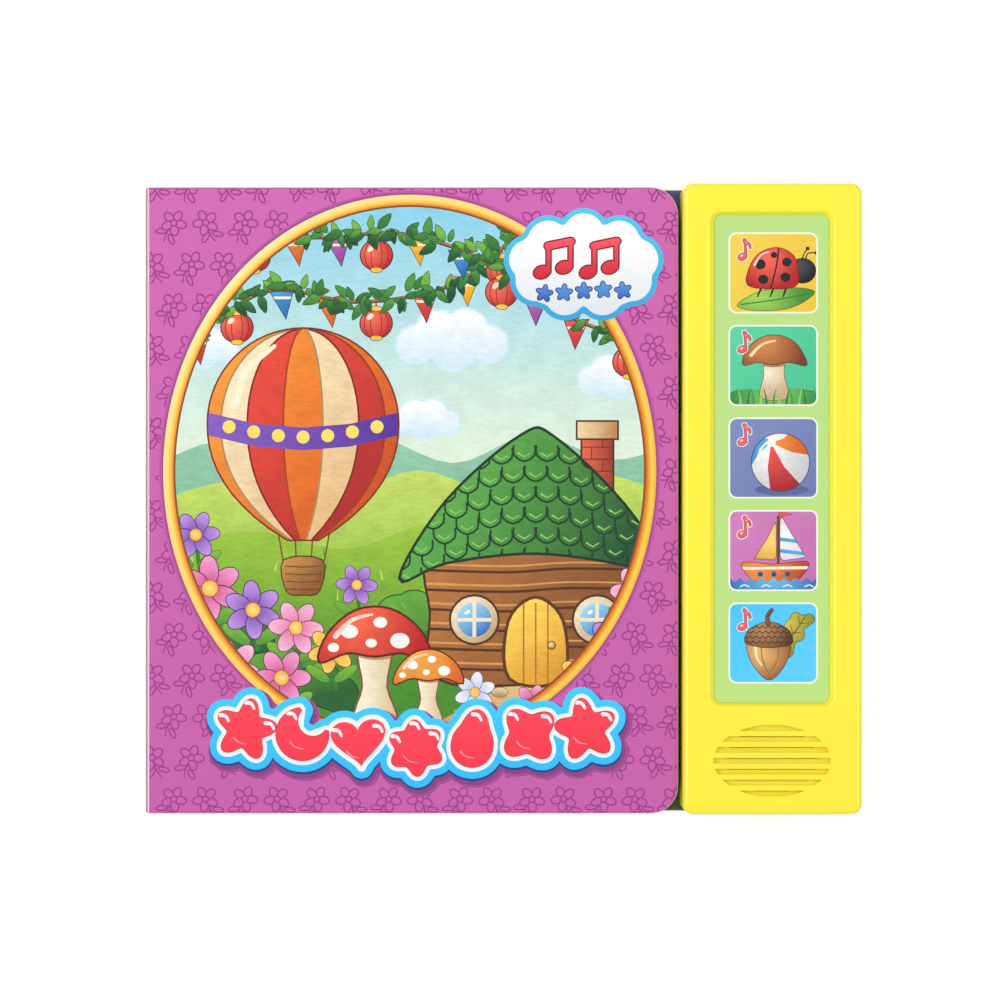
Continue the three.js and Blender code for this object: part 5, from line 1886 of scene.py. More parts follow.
    def evening(self, reach: Reach) -> Print:
        """The last page's print: stars over a dusky meadow.

        Args:
            reach: The back cover's limits.

        Returns:
            The print.
        """
        plate = Print(slope("3c5f19", "5a5aa0", (0, reach.y0 + 30), (0, reach.y1)), 0.3)
        draw = random.Random(5)
        for k in range(30):
            x, y = -92 + 23.5 * (k % 6) + draw.uniform(-7, 7), 6 + 17 * (k // 6) + draw.uniform(-6, 6)
            size = draw.uniform(1.3, 3.2)
            plate.lay(moved(star(5, 0.24), x, y, size, draw.uniform(0, 70)), flat("f6e79a"), (), 0.4)
        for k, (light, dark) in enumerate((("5f8a3c", "3c6426"), ("4f7a2a", "2f5218"))):
            line = curved([(reach.x0 - 2, -22 - 18 * k), (-62, -12 - 20 * k), (-18, -24 - 14 * k),
                           (22, -10 - 22 * k), (47, -20 - 16 * k)], 6, False)
            plate.lay([*line, (47, reach.y0 - 2), (reach.x0 - 2, reach.y0 - 2)],
                      slope(dark, light, (0, reach.y0), (0, -10 - 16 * k)), (), 0.6)
        return plate

    def folds(self) -> None:
        """The paper that joins the spine to each cover, at the hinges where the book opens."""
        front, spine, back = Reach.of("front_cover"), Reach.of("spine"), Reach.of("back_cover")
        x = spine.x0
        middle = (spine.z0 + spine.z1) / 2
        upper = [(x, middle + 0.05), (x, spine.z1 - 1.6), (x, spine.z1), (x, front.z1 - 1.4),
                 (x + 0.03, front.z1 - 0.7), (x + 0.13, front.z1 - 0.3)]
        lower = [(x, middle - 0.05), (x, spine.z0 + 1.4), (x, spine.z0 + 0.2), (x, back.z0 + 1.2),
                 (x + 0.02, back.z0 + 0.4), (x + 0.1, back.z0 + 0.08)]
        top_half = (x * MM, 0, (spine.z1 - 0.1) * MM), (x * MM, 0, (front.z0 + 0.5) * MM)
        low_half = (x * MM, 0, (back.z1 - 0.1) * MM), (x * MM, 0, (spine.z0 + 0.1) * MM)
        strips = (("cover_fold", upper, "pages", "cover", top_half),
                  ("back_fold", lower, "case", "pages", low_half))
        for name, line, first, second, (start, end) in strips:
            path = curved(line, 4, closed=False)
            count = 40
            skin = Skin()
            shade = slope(CoverPicture.bottom, CoverPicture.top, (0, front.y0), (0, front.y1))
            inner = [(px + self.film, pz) for px, pz in path]
            section = [*path, *inner[::-1]]
            for k in range(count + 1):
                y = front.y0 + 0.3 + (front.y1 - front.y0 - 0.6) * k / count
                skin.points += [(max(px, x), y, pz) for px, pz in section]
            size = len(section)
            for k in range(count):
                for i in range(size):
                    j = (i + 1) % size
                    skin.faces.append([k * size + i, k * size + j, (k + 1) * size + j, (k + 1) * size + i])
            skin.faces.append(list(range(size))[::-1])
            skin.faces.append([count * size + i for i in range(size)])
            # Painted shade: the top of the fold turns grey purple, where the spine's edge falls in shadow.
            fold_top_shade = linear("7d5570")
            for face in skin.faces:
                corners = [skin.points[v] for v in face]
                skin.inks.append([(*blend(shade(px, py), fold_top_shade, (pz - front.z1 + 1.2) / 0.5), 0.0)
                                  for px, py, pz in corners])
            piece = make_object(name, skin.mesh(name))
            outward(piece)
            piece.data.materials.append(COVER_PAPER.material())
            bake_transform(piece)
            LOG.info("%s: bends between %s and %s", name, first, second)


def paint(mesh: bpy.types.Mesh, shade: Shade) -> None:
    """Gives a mesh one shade as its ink.

    Args:
        mesh: The mesh.
        shade: The shade.
    """
    layer = mesh.color_attributes.new("Ink", "FLOAT_COLOR", "CORNER")
    for loop in mesh.loops:
        place = mesh.vertices[loop.vertex_index].co
        layer.data[loop.index].color = (*shade(place.x / MM, place.y / MM), 0.0)


def outward(piece: bpy.types.Object) -> None:
    """Turns every face of a closed mesh outwards.

    Args:
        piece: The piece.
    """
    work = bmesh.new()
    work.from_mesh(piece.data)
    bmesh.ops.recalc_face_normals(work, faces=work.faces)
    work.to_mesh(piece.data)
    work.free()


# The sound module


@dataclass
class SoundModule:
    """The yellow module: two shells, the battery door, the label film, the key pictures and the screws."""

    corner: float = 3.0
    edge: float = 1.2
    top_edge: float = 1.7
    parting_z: float = 2.6
    ceiling_z: float = 15.4
    seat_z: float = 15.2
    film_z: float = 15.5
    film_inset: float = 0.1
    film_corner: float = 2.0
    end_share: float = 0.5
    wall_share: float = 1.3
    grille: tuple[float, float, float] = (-72.9, 32.6, 20.1)
    louvres: int = 7
    louvre_pitch: float = 3.04
    louvre_height: float = 1.45
    louvre_depths: tuple[float, float] = (1.42, 1.15)
    slot: tuple[float, float] = (0.18, 3.4)
    lean: float = 0.35
    picture: tuple[float, float] = (25.0, 22.7)
    print_shift: float = 0.4
    boss_inset: float = 4.4
    key_travel: float = 0.8

    def build(self) -> None:
        """Builds and dresses the module."""
        self.front_shell()
        self.back_shell()
        self.battery_door()
        self.label()
        self.domes()
        self.screws()

    def case(self, inset: float, lean: float = 0.0) -> Outline:
        """The module's outline, smaller by an inset, with the side at the pages moved by lean."""
        reach = Reach.of("front_shell")
        radius = max(self.corner - inset, 1.0)
        return rounded(reach.x0 + inset + lean, reach.x1 - inset, reach.y0 + inset, reach.y1 - inset,
                       radius, radius, 12)

    def round_edge(self, z: float, up: int, lean: float = 0.0) -> list[tuple[float, Outline]]:
        """Rings of the outer edge, from the wall to the flat.

        Args:
            z: Height of the flat.
            up: 1 where the flat is on top, -1 where it is below.
            lean: How far the side at the pages has moved there.

        Returns:
            Height and outline of each ring.
        """
        edge = self.top_edge if up > 0 else self.edge
        angles = [math.radians(7.5 * k) for k in range(13)]
        return [(z - up * edge * (1 - math.sin(a)), self.case(edge * (1 - math.cos(a)),
                                                              lean)) for a in angles]

    def inner_block(self, inset: float, z: Point) -> bpy.types.Object:
        """The middle of a shell, which keeps the CAD's own inner walls."""
        reach = Reach.of("front_shell")
        return block("inner", (reach.x0 + inset, reach.x1 - inset), (reach.y0 + inset, reach.y1 - inset), z)

    def shell(self, name: str, node: str, rings: list, inner_z: Point, kept_z: Point,
              cutters: Sequence[bpy.types.Object]) -> None:
        """Builds a shell: a fine outside round the CAD's inner walls.

        Args:
            name: The piece's name.
            node: The CAD node that it stands for.
            rings: The outside, lowest ring first.
            inner_z: Heights between which the fine solid is emptied.
            kept_z: Heights between which the CAD's inner part is kept, a little more.
            cutters: What is cut from the fine solid.
        """
        piece = loft(name, rings)
        carve(piece, self.inner_block(self.wall_share, inner_z), Cut.TAKE)
        for cutter in cutters:
            carve(piece, cutter, Cut.TAKE)
        inner = cad_copy(node)
        carve(inner, self.inner_block(self.wall_share - 0.03, kept_z), Cut.KEEP)
        carve(piece, inner, Cut.JOIN)
        even_normals(piece)
        settle(piece, CASE_ABS, "case", [node])

    def front_shell(self) -> None:
        """The lid, with its film recess and its louvred grille."""
        reach = Reach.of("front_shell")
        lead = 0.15
        rings = [(self.parting_z, self.case(lead)), (self.parting_z + lead, self.case(0.0))]
        rings += self.round_edge(reach.z1, 1, self.lean)
        film = Reach.of("label_film")
        top = reach.z1
        profile = ((0.0, self.seat_z - 1), (0.0, self.film_z), (0.1, self.film_z + 0.08), (1.0, top - 0.42),
                   (1.2, top - 0.26), (1.42, top - 0.135), (1.68, top - 0.045), (1.95, top - 0.005),
                   (2.2, top + 0.02), (2.7, top + 0.4))
        recess = loft("recess", [(z, self.film_shape(film, out)) for out, z in profile])
        back_board = Reach.of("back_cover")
        slit = block("slit", (reach.x0 - 1, reach.x0 + 1.9), (reach.y0 - 1, reach.y1 + 1),
                     (0, back_board.z1 + 0.1))
        self.shell("case_front", "front_shell", rings, (-1, self.ceiling_z + 0.05), (-1,
                                                                                     self.ceiling_z + 0.1),
                   [recess, self.grooves(reach), self.slots(reach), slit])

    def film_shape(self, film: Reach, out: float) -> Outline:
        """The recess's outline at the film, grown by an amount.

        Args:
            film: The film's limits.
            out: The amount.

        Returns:
            The outline.
        """
        grow = out + self.film_inset
        rise = out * self.end_share + self.film_inset
        radius = self.film_corner + out * 0.6
        return rounded(film.x0 - grow, film.x1 + grow, film.y0 - rise, film.y1 + rise, radius, radius, 10)

    def grille_oval(self, z: Point, inset: float) -> bpy.types.Object:
        """An upright oval prism round the grille's middle.

        Args:
            z: Lower and upper height.
            inset: How much smaller it is.

        Returns:
            The prism.
        """
        y, width, height = self.grille
        x = Reach.of("front_shell").middle[0]
        ring = ellipse(x, y, width / 2 - inset, height / 2 - inset / 4, 0, 96)
        return loft("oval", [(z[0], ring), (z[1], ring)])

    def louvre_bars(self, section: Outline, reach: Reach) -> bpy.types.Object:
        """Copies of one bar across the grille, a louvre apart.

        Args:
            section: The top bar's outline in Y and Z.
            reach: The shell's limits.

        Returns:
            The bars.
        """
        x, half = reach.middle[0], self.grille[1] / 2 + 1
        points = [(x + side * half, y, z) for side in (-1, 1) for y, z in section]
        count = len(section)
        faces = [list(range(count)), list(range(count, 2 * count))[::-1]]
        faces += [[i, i + count, (i + 1) % count + count, (i + 1) % count] for i in range(count)]
        mesh = bpy.data.meshes.new("bar")
        mesh.from_pydata([(a * MM, b * MM, c * MM) for a, b, c in points], [], faces)
        bar = make_object("bar", mesh)
        outward(bar)
        return ROWS.make("bars", bar, CASE_ABS, (self.louvres, (0, -self.louvre_pitch, 0)),
                         (1, (0, 0, 0)), (0, 0, 0))

    def top_louvre(self) -> float:
        """The upper edge of the first louvre."""
        return self.grille[0] + (self.louvres - 1) / 2 * self.louvre_pitch + self.louvre_height / 2

    def grooves(self, reach: Reach) -> bpy.types.Object:
        """The louvres' wedge grooves, deepest at their upper edge, with softened ribs.

        Args:
            reach: The shell's limits.

        Returns:
            What is cut out.
        """
        top, upper = reach.z1, self.top_louvre()
        lower = upper - self.louvre_height
        deep, shallow = self.louvre_depths
        soft = 0.16
        section = [(upper + soft, top + 0.3), (upper + soft, top + 0.004), (upper + 0.3 * soft,
                                                                            top - 0.3 * soft),
                   (upper, top - soft), (upper, top - deep), (lower, top - shallow), (lower, top - soft),
                   (lower - 0.3 * soft, top - 0.3 * soft), (lower - soft, top + 0.004), (lower - soft,
                                                                                         top + 0.3)]
        bars = self.louvre_bars(section, reach)
        carve(bars, self.grille_oval((top - 2, top + 1), 0), Cut.KEEP)
        return bars

    def slots(self, reach: Reach) -> bpy.types.Object:
        """The slits that go through at each louvre's upper edge.

        Args:
            reach: The shell's limits.

        Returns:
            What is cut out.
        """
        upper = self.top_louvre()
        low = upper - self.slot[0]
        z0, z1 = self.ceiling_z - 1, reach.z1 - 0.3
        bars = self.louvre_bars([(upper - 0.005, z0), (upper - 0.005, z1), (low, z1), (low, z0)], reach)
        carve(bars, self.grille_oval((z0 - 1, z1 + 1), self.slot[1]), Cut.KEEP)
        return bars

    def back_shell(self) -> None:
        """The tray below, with its rounded rim."""
        reach = Reach.of("back_shell")
        lead = 0.15
        rings = self.round_edge(reach.z0, -1)[::-1]
        rings += [(self.parting_z - lead, self.case(0.0)), (self.parting_z, self.case(lead))]
        board = Reach.of("back_cover")
        slit = block("slit", (reach.x0 - 1, reach.x0 + 1.9), (reach.y0 - 1, reach.y1 + 1), (board.z0, 6))
        self.shell("case_back", "back_shell", rings, (-1, 20), (-1, 20), [slit])

    def battery_door(self) -> None:
        """The flat door below, with its sunk screw place."""
        reach = Reach.of("battery_door")
        roll = 0.3

        def ring(inset: float) -> Outline:
            """The door's outline, smaller by an inset."""
            return rounded(reach.x0 + inset, reach.x1 - inset, reach.y0 + inset, reach.y1 - inset,
                           1.5, 1.5, 8)
        angles = [math.radians(22.5 * k) for k in range(5)]
        rings = [(reach.z0 + roll * (1 - math.sin(a)), ring(roll * (1 - math.cos(a)))) for a in angles][::-1]
        rings.append((reach.z1, ring(0)))
        piece = loft("door", rings)
        screw = Reach.of("door_screw")
        x, y = screw.middle
        sink = [(reach.z0 - 1, ellipse(x, y, 2.5, 0, 0, 40)), (reach.z0 + 0.05, ellipse(x, y, 2.38, 0, 0,
                                                                                        40)),
                (reach.z0 + 0.2, ellipse(x, y, 2.3, 0, 0, 40)), (screw.z0 + 0.8, ellipse(x, y, 2.3, 0, 0,
                                                                                         40))]
        carve(piece, loft("sink", sink), Cut.TAKE)
        bore = ellipse(x, y, 1.1, 0, 0, 24)
        carve(piece, loft("bore", [(reach.z0 - 1, bore), (reach.z1 + 1, bore)]), Cut.TAKE)
        even_normals(piece)
        settle(piece, CASE_ABS, "case", ["battery_door"])

    def label(self) -> None:
        """The green film and its five raised pictures."""
        reach = Reach.of("label_film")
        shape = rounded(reach.x0, reach.x1, reach.y0, reach.y1, self.film_corner, self.film_corner, 10)
        plate = Print(slope("bde582", "bbe288", (0, reach.y0), (0, reach.y1)))
        plate.lay(offset(shape, -1.6), slope("bfe484", "bee38c", (0, reach.y0), (0, reach.y1)))
        half_w, half_h = self.picture[0] / 2, self.picture[1] / 2
        openings = []
        for number in range(1, 6):
            x, y = Reach.of(f"key_{number}").middle
            x += self.print_shift
            edge = rounded(x - half_w, x + half_w, y - half_h, y + half_h, 2.3, 2.3, 6)
            openings.append(edge)
            self.key_picture(number, x, y, edge)
        board = Board("label_sheet", shape, reach.z1, reach.z0, plate, Print(flat("dfe9cc")), roll=0.06,
                      core="cfe6a6", holes=[offset(o, -0.02) for o in openings])
        piece = make_object("label_sheet", board.mesh())
        even_normals(piece)
        settle(piece, LABEL_FILM, "case", ["label_film"])

    def key_picture(self, number: int, x: float, y: float, edge: Outline) -> None:
        """One raised picture over a key.

        Args:
            number: Of the key, from 1 at the top.
            x: Middle across.
            y: Middle up.
            edge: Its outline.
        """
        half_w, half_h = self.picture[0] / 2, self.picture[1] / 2
        plate = Print(flat("f6fbe9"))
        grounds = (("fad754", "f2c63c"), ("5ad6a5", "48c294"), ("808ec0", "6c7bb4"), ("d482be", "c46fb0"),
                   ("46c8ff", "62d4ff"))
        light, dark = grounds[number - 1]
        inner = offset(edge, -0.5)
        field_number = plate.lay(inner, slope(light, dark, (x - half_w, y + half_h), (x + half_w,
                                                                                      y - half_h)),
                                 (), 0.25)
        KeyMotifs(plate, Pictures(plate, random.Random(number)), field_number, x, y).lay(number)
        crown = 0.16

        def lift(px: float, py: float) -> float:
            """How far the picture's raised middle stands out at a point."""
            u, v = (px - x) / half_w, (py - y) / half_h
            if max(abs(u), abs(v)) >= 1:
                return 0
            return crown * (1 - min(u * u, 1.0)) ** 0.6 * (1 - min(v * v, 1.0)) ** 0.6
        step = 0.8
        grid = [(x + step * i, y + step * j) for i in range(-14, 15) for j in range(-13, 14)]
        board = Board(f"key_picture_{number}", edge, self.film_z, self.seat_z + 0.02, plate,
                      Print(flat("dfe9cc")),
                      roll=0.05, core="dfe9cc", grid=grid, crown=lift)
        piece = make_object(board.name, board.mesh())
        settle(piece, LABEL_FILM, "case")
        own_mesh(piece)

    def domes(self) -> None:
        """The rubber domes, which sit on the circuit board under the keys."""
        for number in range(1, 6):
            reach = Reach.of(f"dome_{number}")
            piece = cad_copy(f"dome_{number}")
            piece.name = f"dome_skin_{number}"
            smooth_by_angle(piece.data, 40)
            settle(piece, DOME_RUBBER, "case", [f"dome_{number}"])
            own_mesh(piece)

    def screws(self) -> None:
        """The case screws in two rows, and the door's."""
        reach = Reach.of("front_shell")
        door = Reach.of("door_screw")
        head = Reach.of("case_screw_1")
        across = reach.x1 - reach.x0 - 2 * self.boss_inset
        along = reach.y1 - self.boss_inset
        pattern = self.screw(head.z0, head.z1)
        rows = ROWS.make("case_screws", pattern, SCREW_ZINC, (2, (across, 0, 0)), (3, (0, along, 0)),
                         (reach.x0 + self.boss_inset, -along, 0))
        settle(rows, SCREW_ZINC, "case", [f"case_screw_{k}" for k in range(1, 7)])
        x, y = door.middle
        single = ROWS.make("door_screws", self.screw(door.z0, door.z1), SCREW_ZINC, (1, (0, 0, 0)),
                           (1, (0, 0, 0)), (x, y, 0))
        settle(single, SCREW_ZINC, "case", ["door_screw"])

    def screw(self, z0: float, z1: float) -> bpy.types.Object:
        """A screw at the origin, head down, with a cross recess.

        Args:
            z0: The head's lowest level.
            z1: The tip's level.

        Returns:
            The screw.
        """
        head, rise, shank = 2.0, 0.8, 0.98
        profile = [(z0, head - 0.35), (z0 + 0.08, head - 0.12), (z0 + 0.22, head), (z0 + rise, head),
                   (z0 + rise + 0.01, shank), (z1 - 0.8, shank), (z1, 0.3)]
        piece = loft("screw", [(z, ellipse(0, 0, r, 0, 0, 32)) for z, r in profile])
        for tilt in (0, 90):
            wings = moved([(-1.15, -0.22), (1.15, -0.22), (1.15, 0.22), (-1.15, 0.22)], 0, 0, turn=tilt)
            floor = moved([(-0.7, -0.16), (0.7, -0.16), (0.7, 0.16), (-0.7, 0.16)], 0, 0, turn=tilt)
            carve(piece, loft("cross", [(z0 - 0.2, wings), (z0 + 0.45, floor)]), Cut.TAKE)
        smooth_by_angle(piece.data, 40)
        return piece


@dataclass
class KeyMotifs:
    """The five generic pictures over the keys, each with a note at its upper left."""

    plate: Print
    pictures: Pictures
    inside: int
    x: float
    y: float

    def lay(self, number: int) -> None:
        """Lays the picture of one key."""
        (self.ladybird, self.mushroom, self.ball, self.boat, self.acorn)[number - 1]()
        self.pictures.note(self.x - 8.3, self.y + 6.5, 0.95)

    def put(self, outline: Outline, shade: Shade, within: Sequence[int] = (), painted: float = 0.7) -> int:
        """Lays a shape inside the picture's field."""
        return self.plate.lay(moved(outline, self.x, self.y), shade, [self.inside, *within], painted)

    def edged(self, outline: Outline, shade: Shade, rim: str, width: float = 0.18) -> int:
        """Lays a shape with a thin dark edge inside the picture's field."""
        return self.plate.rimmed(moved(outline, self.x, self.y), shade, rim, width, [self.inside], 0.7)

    def lit(self, light: str, dark: str, across: float, up: float, radius: float) -> Shade:
        """A colour that is lightest at a point of the picture."""
        return glow(light, dark, (self.x + across, self.y + up), radius)

    def ladybird(self) -> None:
        """A ladybird on a leaf."""
        leaf = curved([(-10, -9), (-4, -10.5), (5, -9.6), (11.5, -5.5), (6, -4.2), (-3, -5)], 5)
        vein = self.edged(leaf, self.lit("a9dc58", "3f8f34", -4, -6, 12), "2a5f22")
        self.put(band(curved([(-9, -8.8), (0, -7.6), (10, -5.8)], 4, False), 0.35), flat("2f7a2a"), [vein])
        for k in range(3):
            self.put(band([(-3 + 3.4 * k, -3.4), (-4.4 + 3.6 * k, -6.6)], 0.7, 0.4), flat("17171a"))
        self.edged(ellipse(8.2, 0.6, 3.6, 3.4), self.lit("4c4c55", "0d0d10", 7.4, 2, 4), "060608")
        for side, tip in ((0, (9.6, 6.8)), (1, (12.0, 5.6))):
            self.put(band(curved([(8 + side, 3.2), (8.6 + side, 5.4), tip], 3, False), 0.35), flat("101014"))
            self.put(ellipse(tip[0], tip[1], 0.55, 0, 0, 10), flat("101014"))
        shell = curved([(-7, -3.4), (-6.6, 1.6), (-3.6, 5.6), (1.4, 7.0), (5.6, 4.8), (7.0, 0.4), (6.2, -3.6),
                        (0, -4.4)], 5)
        back = self.edged(shell, self.lit("ff6a58", "b5121c", -1.4, 4.2, 9), "4a0a0e")
        self.put(band(curved([(1.6, 7.2), (0.8, 1.5), (-0.8, -4.6)], 4, False), 0.45), flat("3a0a10"), [back])
        for cx, cy, r in ((-3.6, 2.4, 1.5), (3.8, 3.0, 1.35), (-2.8, -1.8, 1.4), (3.4, -1.2, 1.4), (0.2, 5.0,
                                                                                                    0.9)):
            self.put(ellipse(cx, cy, r, r * 0.94, 0, 16), flat("141216"), [back])
        self.put(band(curved([(-5.2, 2.2), (-3.6, 4.8), (-1.2, 5.9)], 3, False), 0.7, 0.3), flat("ffd9d2"),
                 [back])

    def mushroom(self) -> None:
        """A brown mushroom in grass."""
        self.put(curved([(-12, -12), (-12, -7.6), (-6, -6.6), (0, -7.6), (6, -6.4), (12.4, -7.8), (12.4,
                                                                                                   -12)], 4),
                 self.lit("7ecb5a", "2c8a4a", 0, -7, 12))
        stalk = curved([(-3.4, -9), (-2.6, -3), (-2.2, 1.4), (2.6, 1.4), (3.0, -3), (4.0, -9)], 5)
        foot = self.edged(stalk, self.lit("fff3d8", "cfae80", -1.6, -2, 7), "6a4a2a")
        self.put(ellipse(0.2, 1.0, 4.2, 1.5), flat("a88456"), [foot])
        cap = curved([(-8.4, 0.2), (-7.4, 4.2), (-3.6, 7.6), (1.2, 8.4), (6.0, 6.4), (8.8, 2.2), (9.0, 0.0),
                      (4.4, 0.9), (0.2, 0.3), (-4.2, 0.9)], 5)
        top = self.edged(cap, self.lit("d98a4c", "7c2f16", -2, 6, 11), "3c160a")
        self.put(band(curved([(-6.2, 2.8), (-3.2, 5.8), (0.6, 6.9)], 4, False), 1.0, 0.4), flat("ffd9a8"),
                 [top])
        for k in range(13):
            x = -10.8 + 1.8 * k
            lean = 0.8 * (-1) ** k
            self.put(band([(x, -11.4), (x + 0.3 * lean, -8.8), (x + lean, -6.4)], 0.8, 0.15),
                     flat(("2f9a4e", "8fd25c", "1f7a44")[k % 3]))

    def ball(self) -> None:
        """A striped beach ball."""
        self.put(ellipse(2.4, -8.9, 7.6, 1.6), flat("5a689e"))
        body = self.edged(ellipse(2.0, -1.2, 8.0, 0, 0, 48), flat("f4f4f0"), "3a3140", 0.22)
        pole = (-0.6, 4.2)
        tones = (("ff9a3c", "cf4f16"), ("fffef6", "cfcbd2"), ("52b4f0", "1f62b4"), ("fffef6", "cfcbd2"),
                 ("f2574d", "a81c28"), ("fffef6", "cfcbd2"))
        for k, (light, dark) in enumerate(tones):
            first, last = 60 * k + 12, 60 * (k + 1) + 12
            rim = [(2.0 + 9 * math.cos(math.radians(a)), -1.2 + 9 * math.sin(math.radians(a)))
                   for a in range(first, last + 1, 12)]
            bulge = [((pole[0] + p[0]) / 2 + 0.9 * math.sin(math.radians(a)), (pole[1] + p[1]) / 2
                      - 0.9 * math.cos(math.radians(a))) for p, a in ((rim[0], first), (rim[-1], last))]
            self.put([pole, bulge[0], *rim, bulge[1]], self.lit(light, dark, -1, 3, 12), [body])
        self.put(ellipse(*pole, 1.3, 1.1, 20, 16), flat("fff6e0"), [body])
        self.put(band(curved([(-4.2, -0.6), (-3.6, 2.2), (-1.8, 4.4)], 4, False), 0.9, 0.4), flat("ffffff"),
                 [body])

    def boat(self) -> None:
        """A toy boat on waves."""
        mast = [(1.4, -4), (1.4, 9.4)]
        self.put(band(mast, 0.7), flat("6b3c1a"))
        sail = curved([(2.2, 9.0), (4.6, 5.4), (8.6, -1.2), (8.8, -1.8), (5, -2.4), (2.2, -2.2), (2.0, 3.0)],
                      4)
        cloth = self.edged(sail, self.lit("ffffff", "dcc6d8", 3, 4, 9), "5a3a55")
        for k in range(2):
            self.put(band([(1.4, 3.2 - 3.2 * k), (9.6, 2.2 - 3.2 * k)], 1.0), flat("4aa8e0"), [cloth])
        jib = curved([(0.6, 7.6), (-1.6, 3.4), (-4.8, -1.6), (-4.6, -2.2), (-2, -2.3), (0.6, -2.1), (0.7,
                                                                                                     2.6)], 4)
        self.edged(jib, self.lit("ffe27a", "e8961e", -1, 3, 8), "6a3c10")
        self.edged([(1.6, 9.2), (1.6, 11), (5.2, 10.1)], flat("f2574d"), "6a1418", 0.12)
        hull = curved([(-8.6, -3.4), (0, -3.9), (9.6, -3.2), (7.6, -7.4), (4.6, -8.6), (-4.2, -8.6),
                       (-6.8, -7.2)], 4)
        side = self.edged(hull, self.lit("ffa04a", "b8431a", -4, -4, 12), "4a1a0a")
        self.put(band([(-9, -5.0), (10, -4.8)], 0.8), flat("fff3d8"), [side])
        for cx in (-3.6, 0.2, 4.0):
            self.put(ellipse(cx, -6.6, 0.75, 0, 0, 12), flat("2b4a8c"), [side])
        waves = [(-13, -12), *[(-12.4 + 1.55 * k, -8.2 + 0.55 * (-1) ** k) for k in range(17)], (13, -12)]
        self.put(curved(waves, 3), self.lit("6fc4f2", "2c66b4", 0, -8, 12))
        for k in range(4):
            x = -9.2 + 6 * k
            self.put(band(curved([(x, -10.1), (x + 1.2, -9.6), (x + 2.4, -10.1)], 3, False), 0.35),
                     flat("e4f6ff"))

    def acorn(self) -> None:
        """An acorn with an oak leaf."""
        lobes = [(3.2 + 1.6 * k, -1.0 + 2.1 * k + (1.4 if k % 2 else -0.2), 2.3 - 0.2 * k) for k in range(5)]
        left = [(1.8 + 1.4 * k, 1.6 + 2.0 * k, 2.0 - 0.16 * k) for k in range(4)]
        leaf = moved(cloud(5.6, 3.0, [*lobes, *left], 64), 0.4, -0.6)
        blade = self.edged(leaf, self.lit("d9c84a", "7a7a1e", 3, 5, 10), "4a3f10")
        self.put(band(curved([(0.8, -3.0), (5.4, 2.2), (9.6, 8.4)], 4, False), 0.5, 0.2), flat("5a5216"),
                 [blade])
        for k in range(3):
            bx, by = 3.4 + 2.0 * k, 0.2 + 2.6 * k
            for tip in ((2.6, 0.2), (-0.6, 2.4)):
                self.put(band([(bx, by), (bx + tip[0], by + tip[1])], 0.3, 0.12), flat("5a5216"), [blade])
        nut = curved([(-6.6, 0.4), (-6.4, -4.6), (-3.4, -8.8), (-1.2, -10.2), (1.2, -8.8),
                      (4.0, -4.4), (4.0, 0.4)], 5)
        body = self.edged(nut, self.lit("f0bc72", "8a4a1e", -3.6, -2.6, 9), "3c1c08")
        for dx in (-3.4, 1.4):
            self.put(band(curved([(dx, 0), (dx * 0.9, -4.4), (-1.2, -8.8)], 3, False), 0.3), flat("a4662c"),
                     [body])
        self.put(band(curved([(-4.9, -1.2), (-4.6, -4.0), (-3.2, -6.2)], 3, False), 0.9, 0.4),
                 flat("ffe9bd"), [body])
        cup = curved([(-7.8, 0.2), (-7.0, 3.4), (-3.6, 5.4), (-1.2, 5.8), (1.4, 5.3), (4.6, 3.2), (5.2, 0.0),
                      (1.6, -1.0), (-1.4, -1.2), (-4.6, -0.9)], 5)
        dish = self.edged(cup, self.lit("b98a5a", "5a3418", -3, 4, 8), "2e1808")
        for row in range(4):
            for k in range(-4, 5):
                cx = -1.3 + 1.7 * k + 0.85 * (row % 2)
                arc = [(cx - 0.8, 0.6 + 1.4 * row), (cx, -0.1 + 1.4 * row), (cx + 0.8, 0.6 + 1.4 * row)]
                self.put(band(curved(arc, 3, False), 0.26), flat("3c200c"), [dish])
        self.edged(band(curved([(-1.4, 5.4), (-1.6, 7.4), (-0.4, 9.2)], 3, False), 1.2, 0.9),
                   flat("7a5226"), "2e1808", 0.12)


# What the module holds inside


def dress_nodes(frame: dict) -> None:
    """Gives every CAD node that still shows the finish of its slot.
    """
    finishes = {finish.slot: finish for finish in PLAIN_FINISHES}
    slots = {part["node"]: part["material_slot"] for part in frame["record"]["subparts"]}
    for name, node in frame["nodes"].items():
        finish = finishes.get(slots[name])
        if node.hide_render or finish is None:
            continue
        node.data.materials.clear()
        node.data.materials.append(finish.material())
        LOG.info("%s: %s", name, finish.name)


# Studio


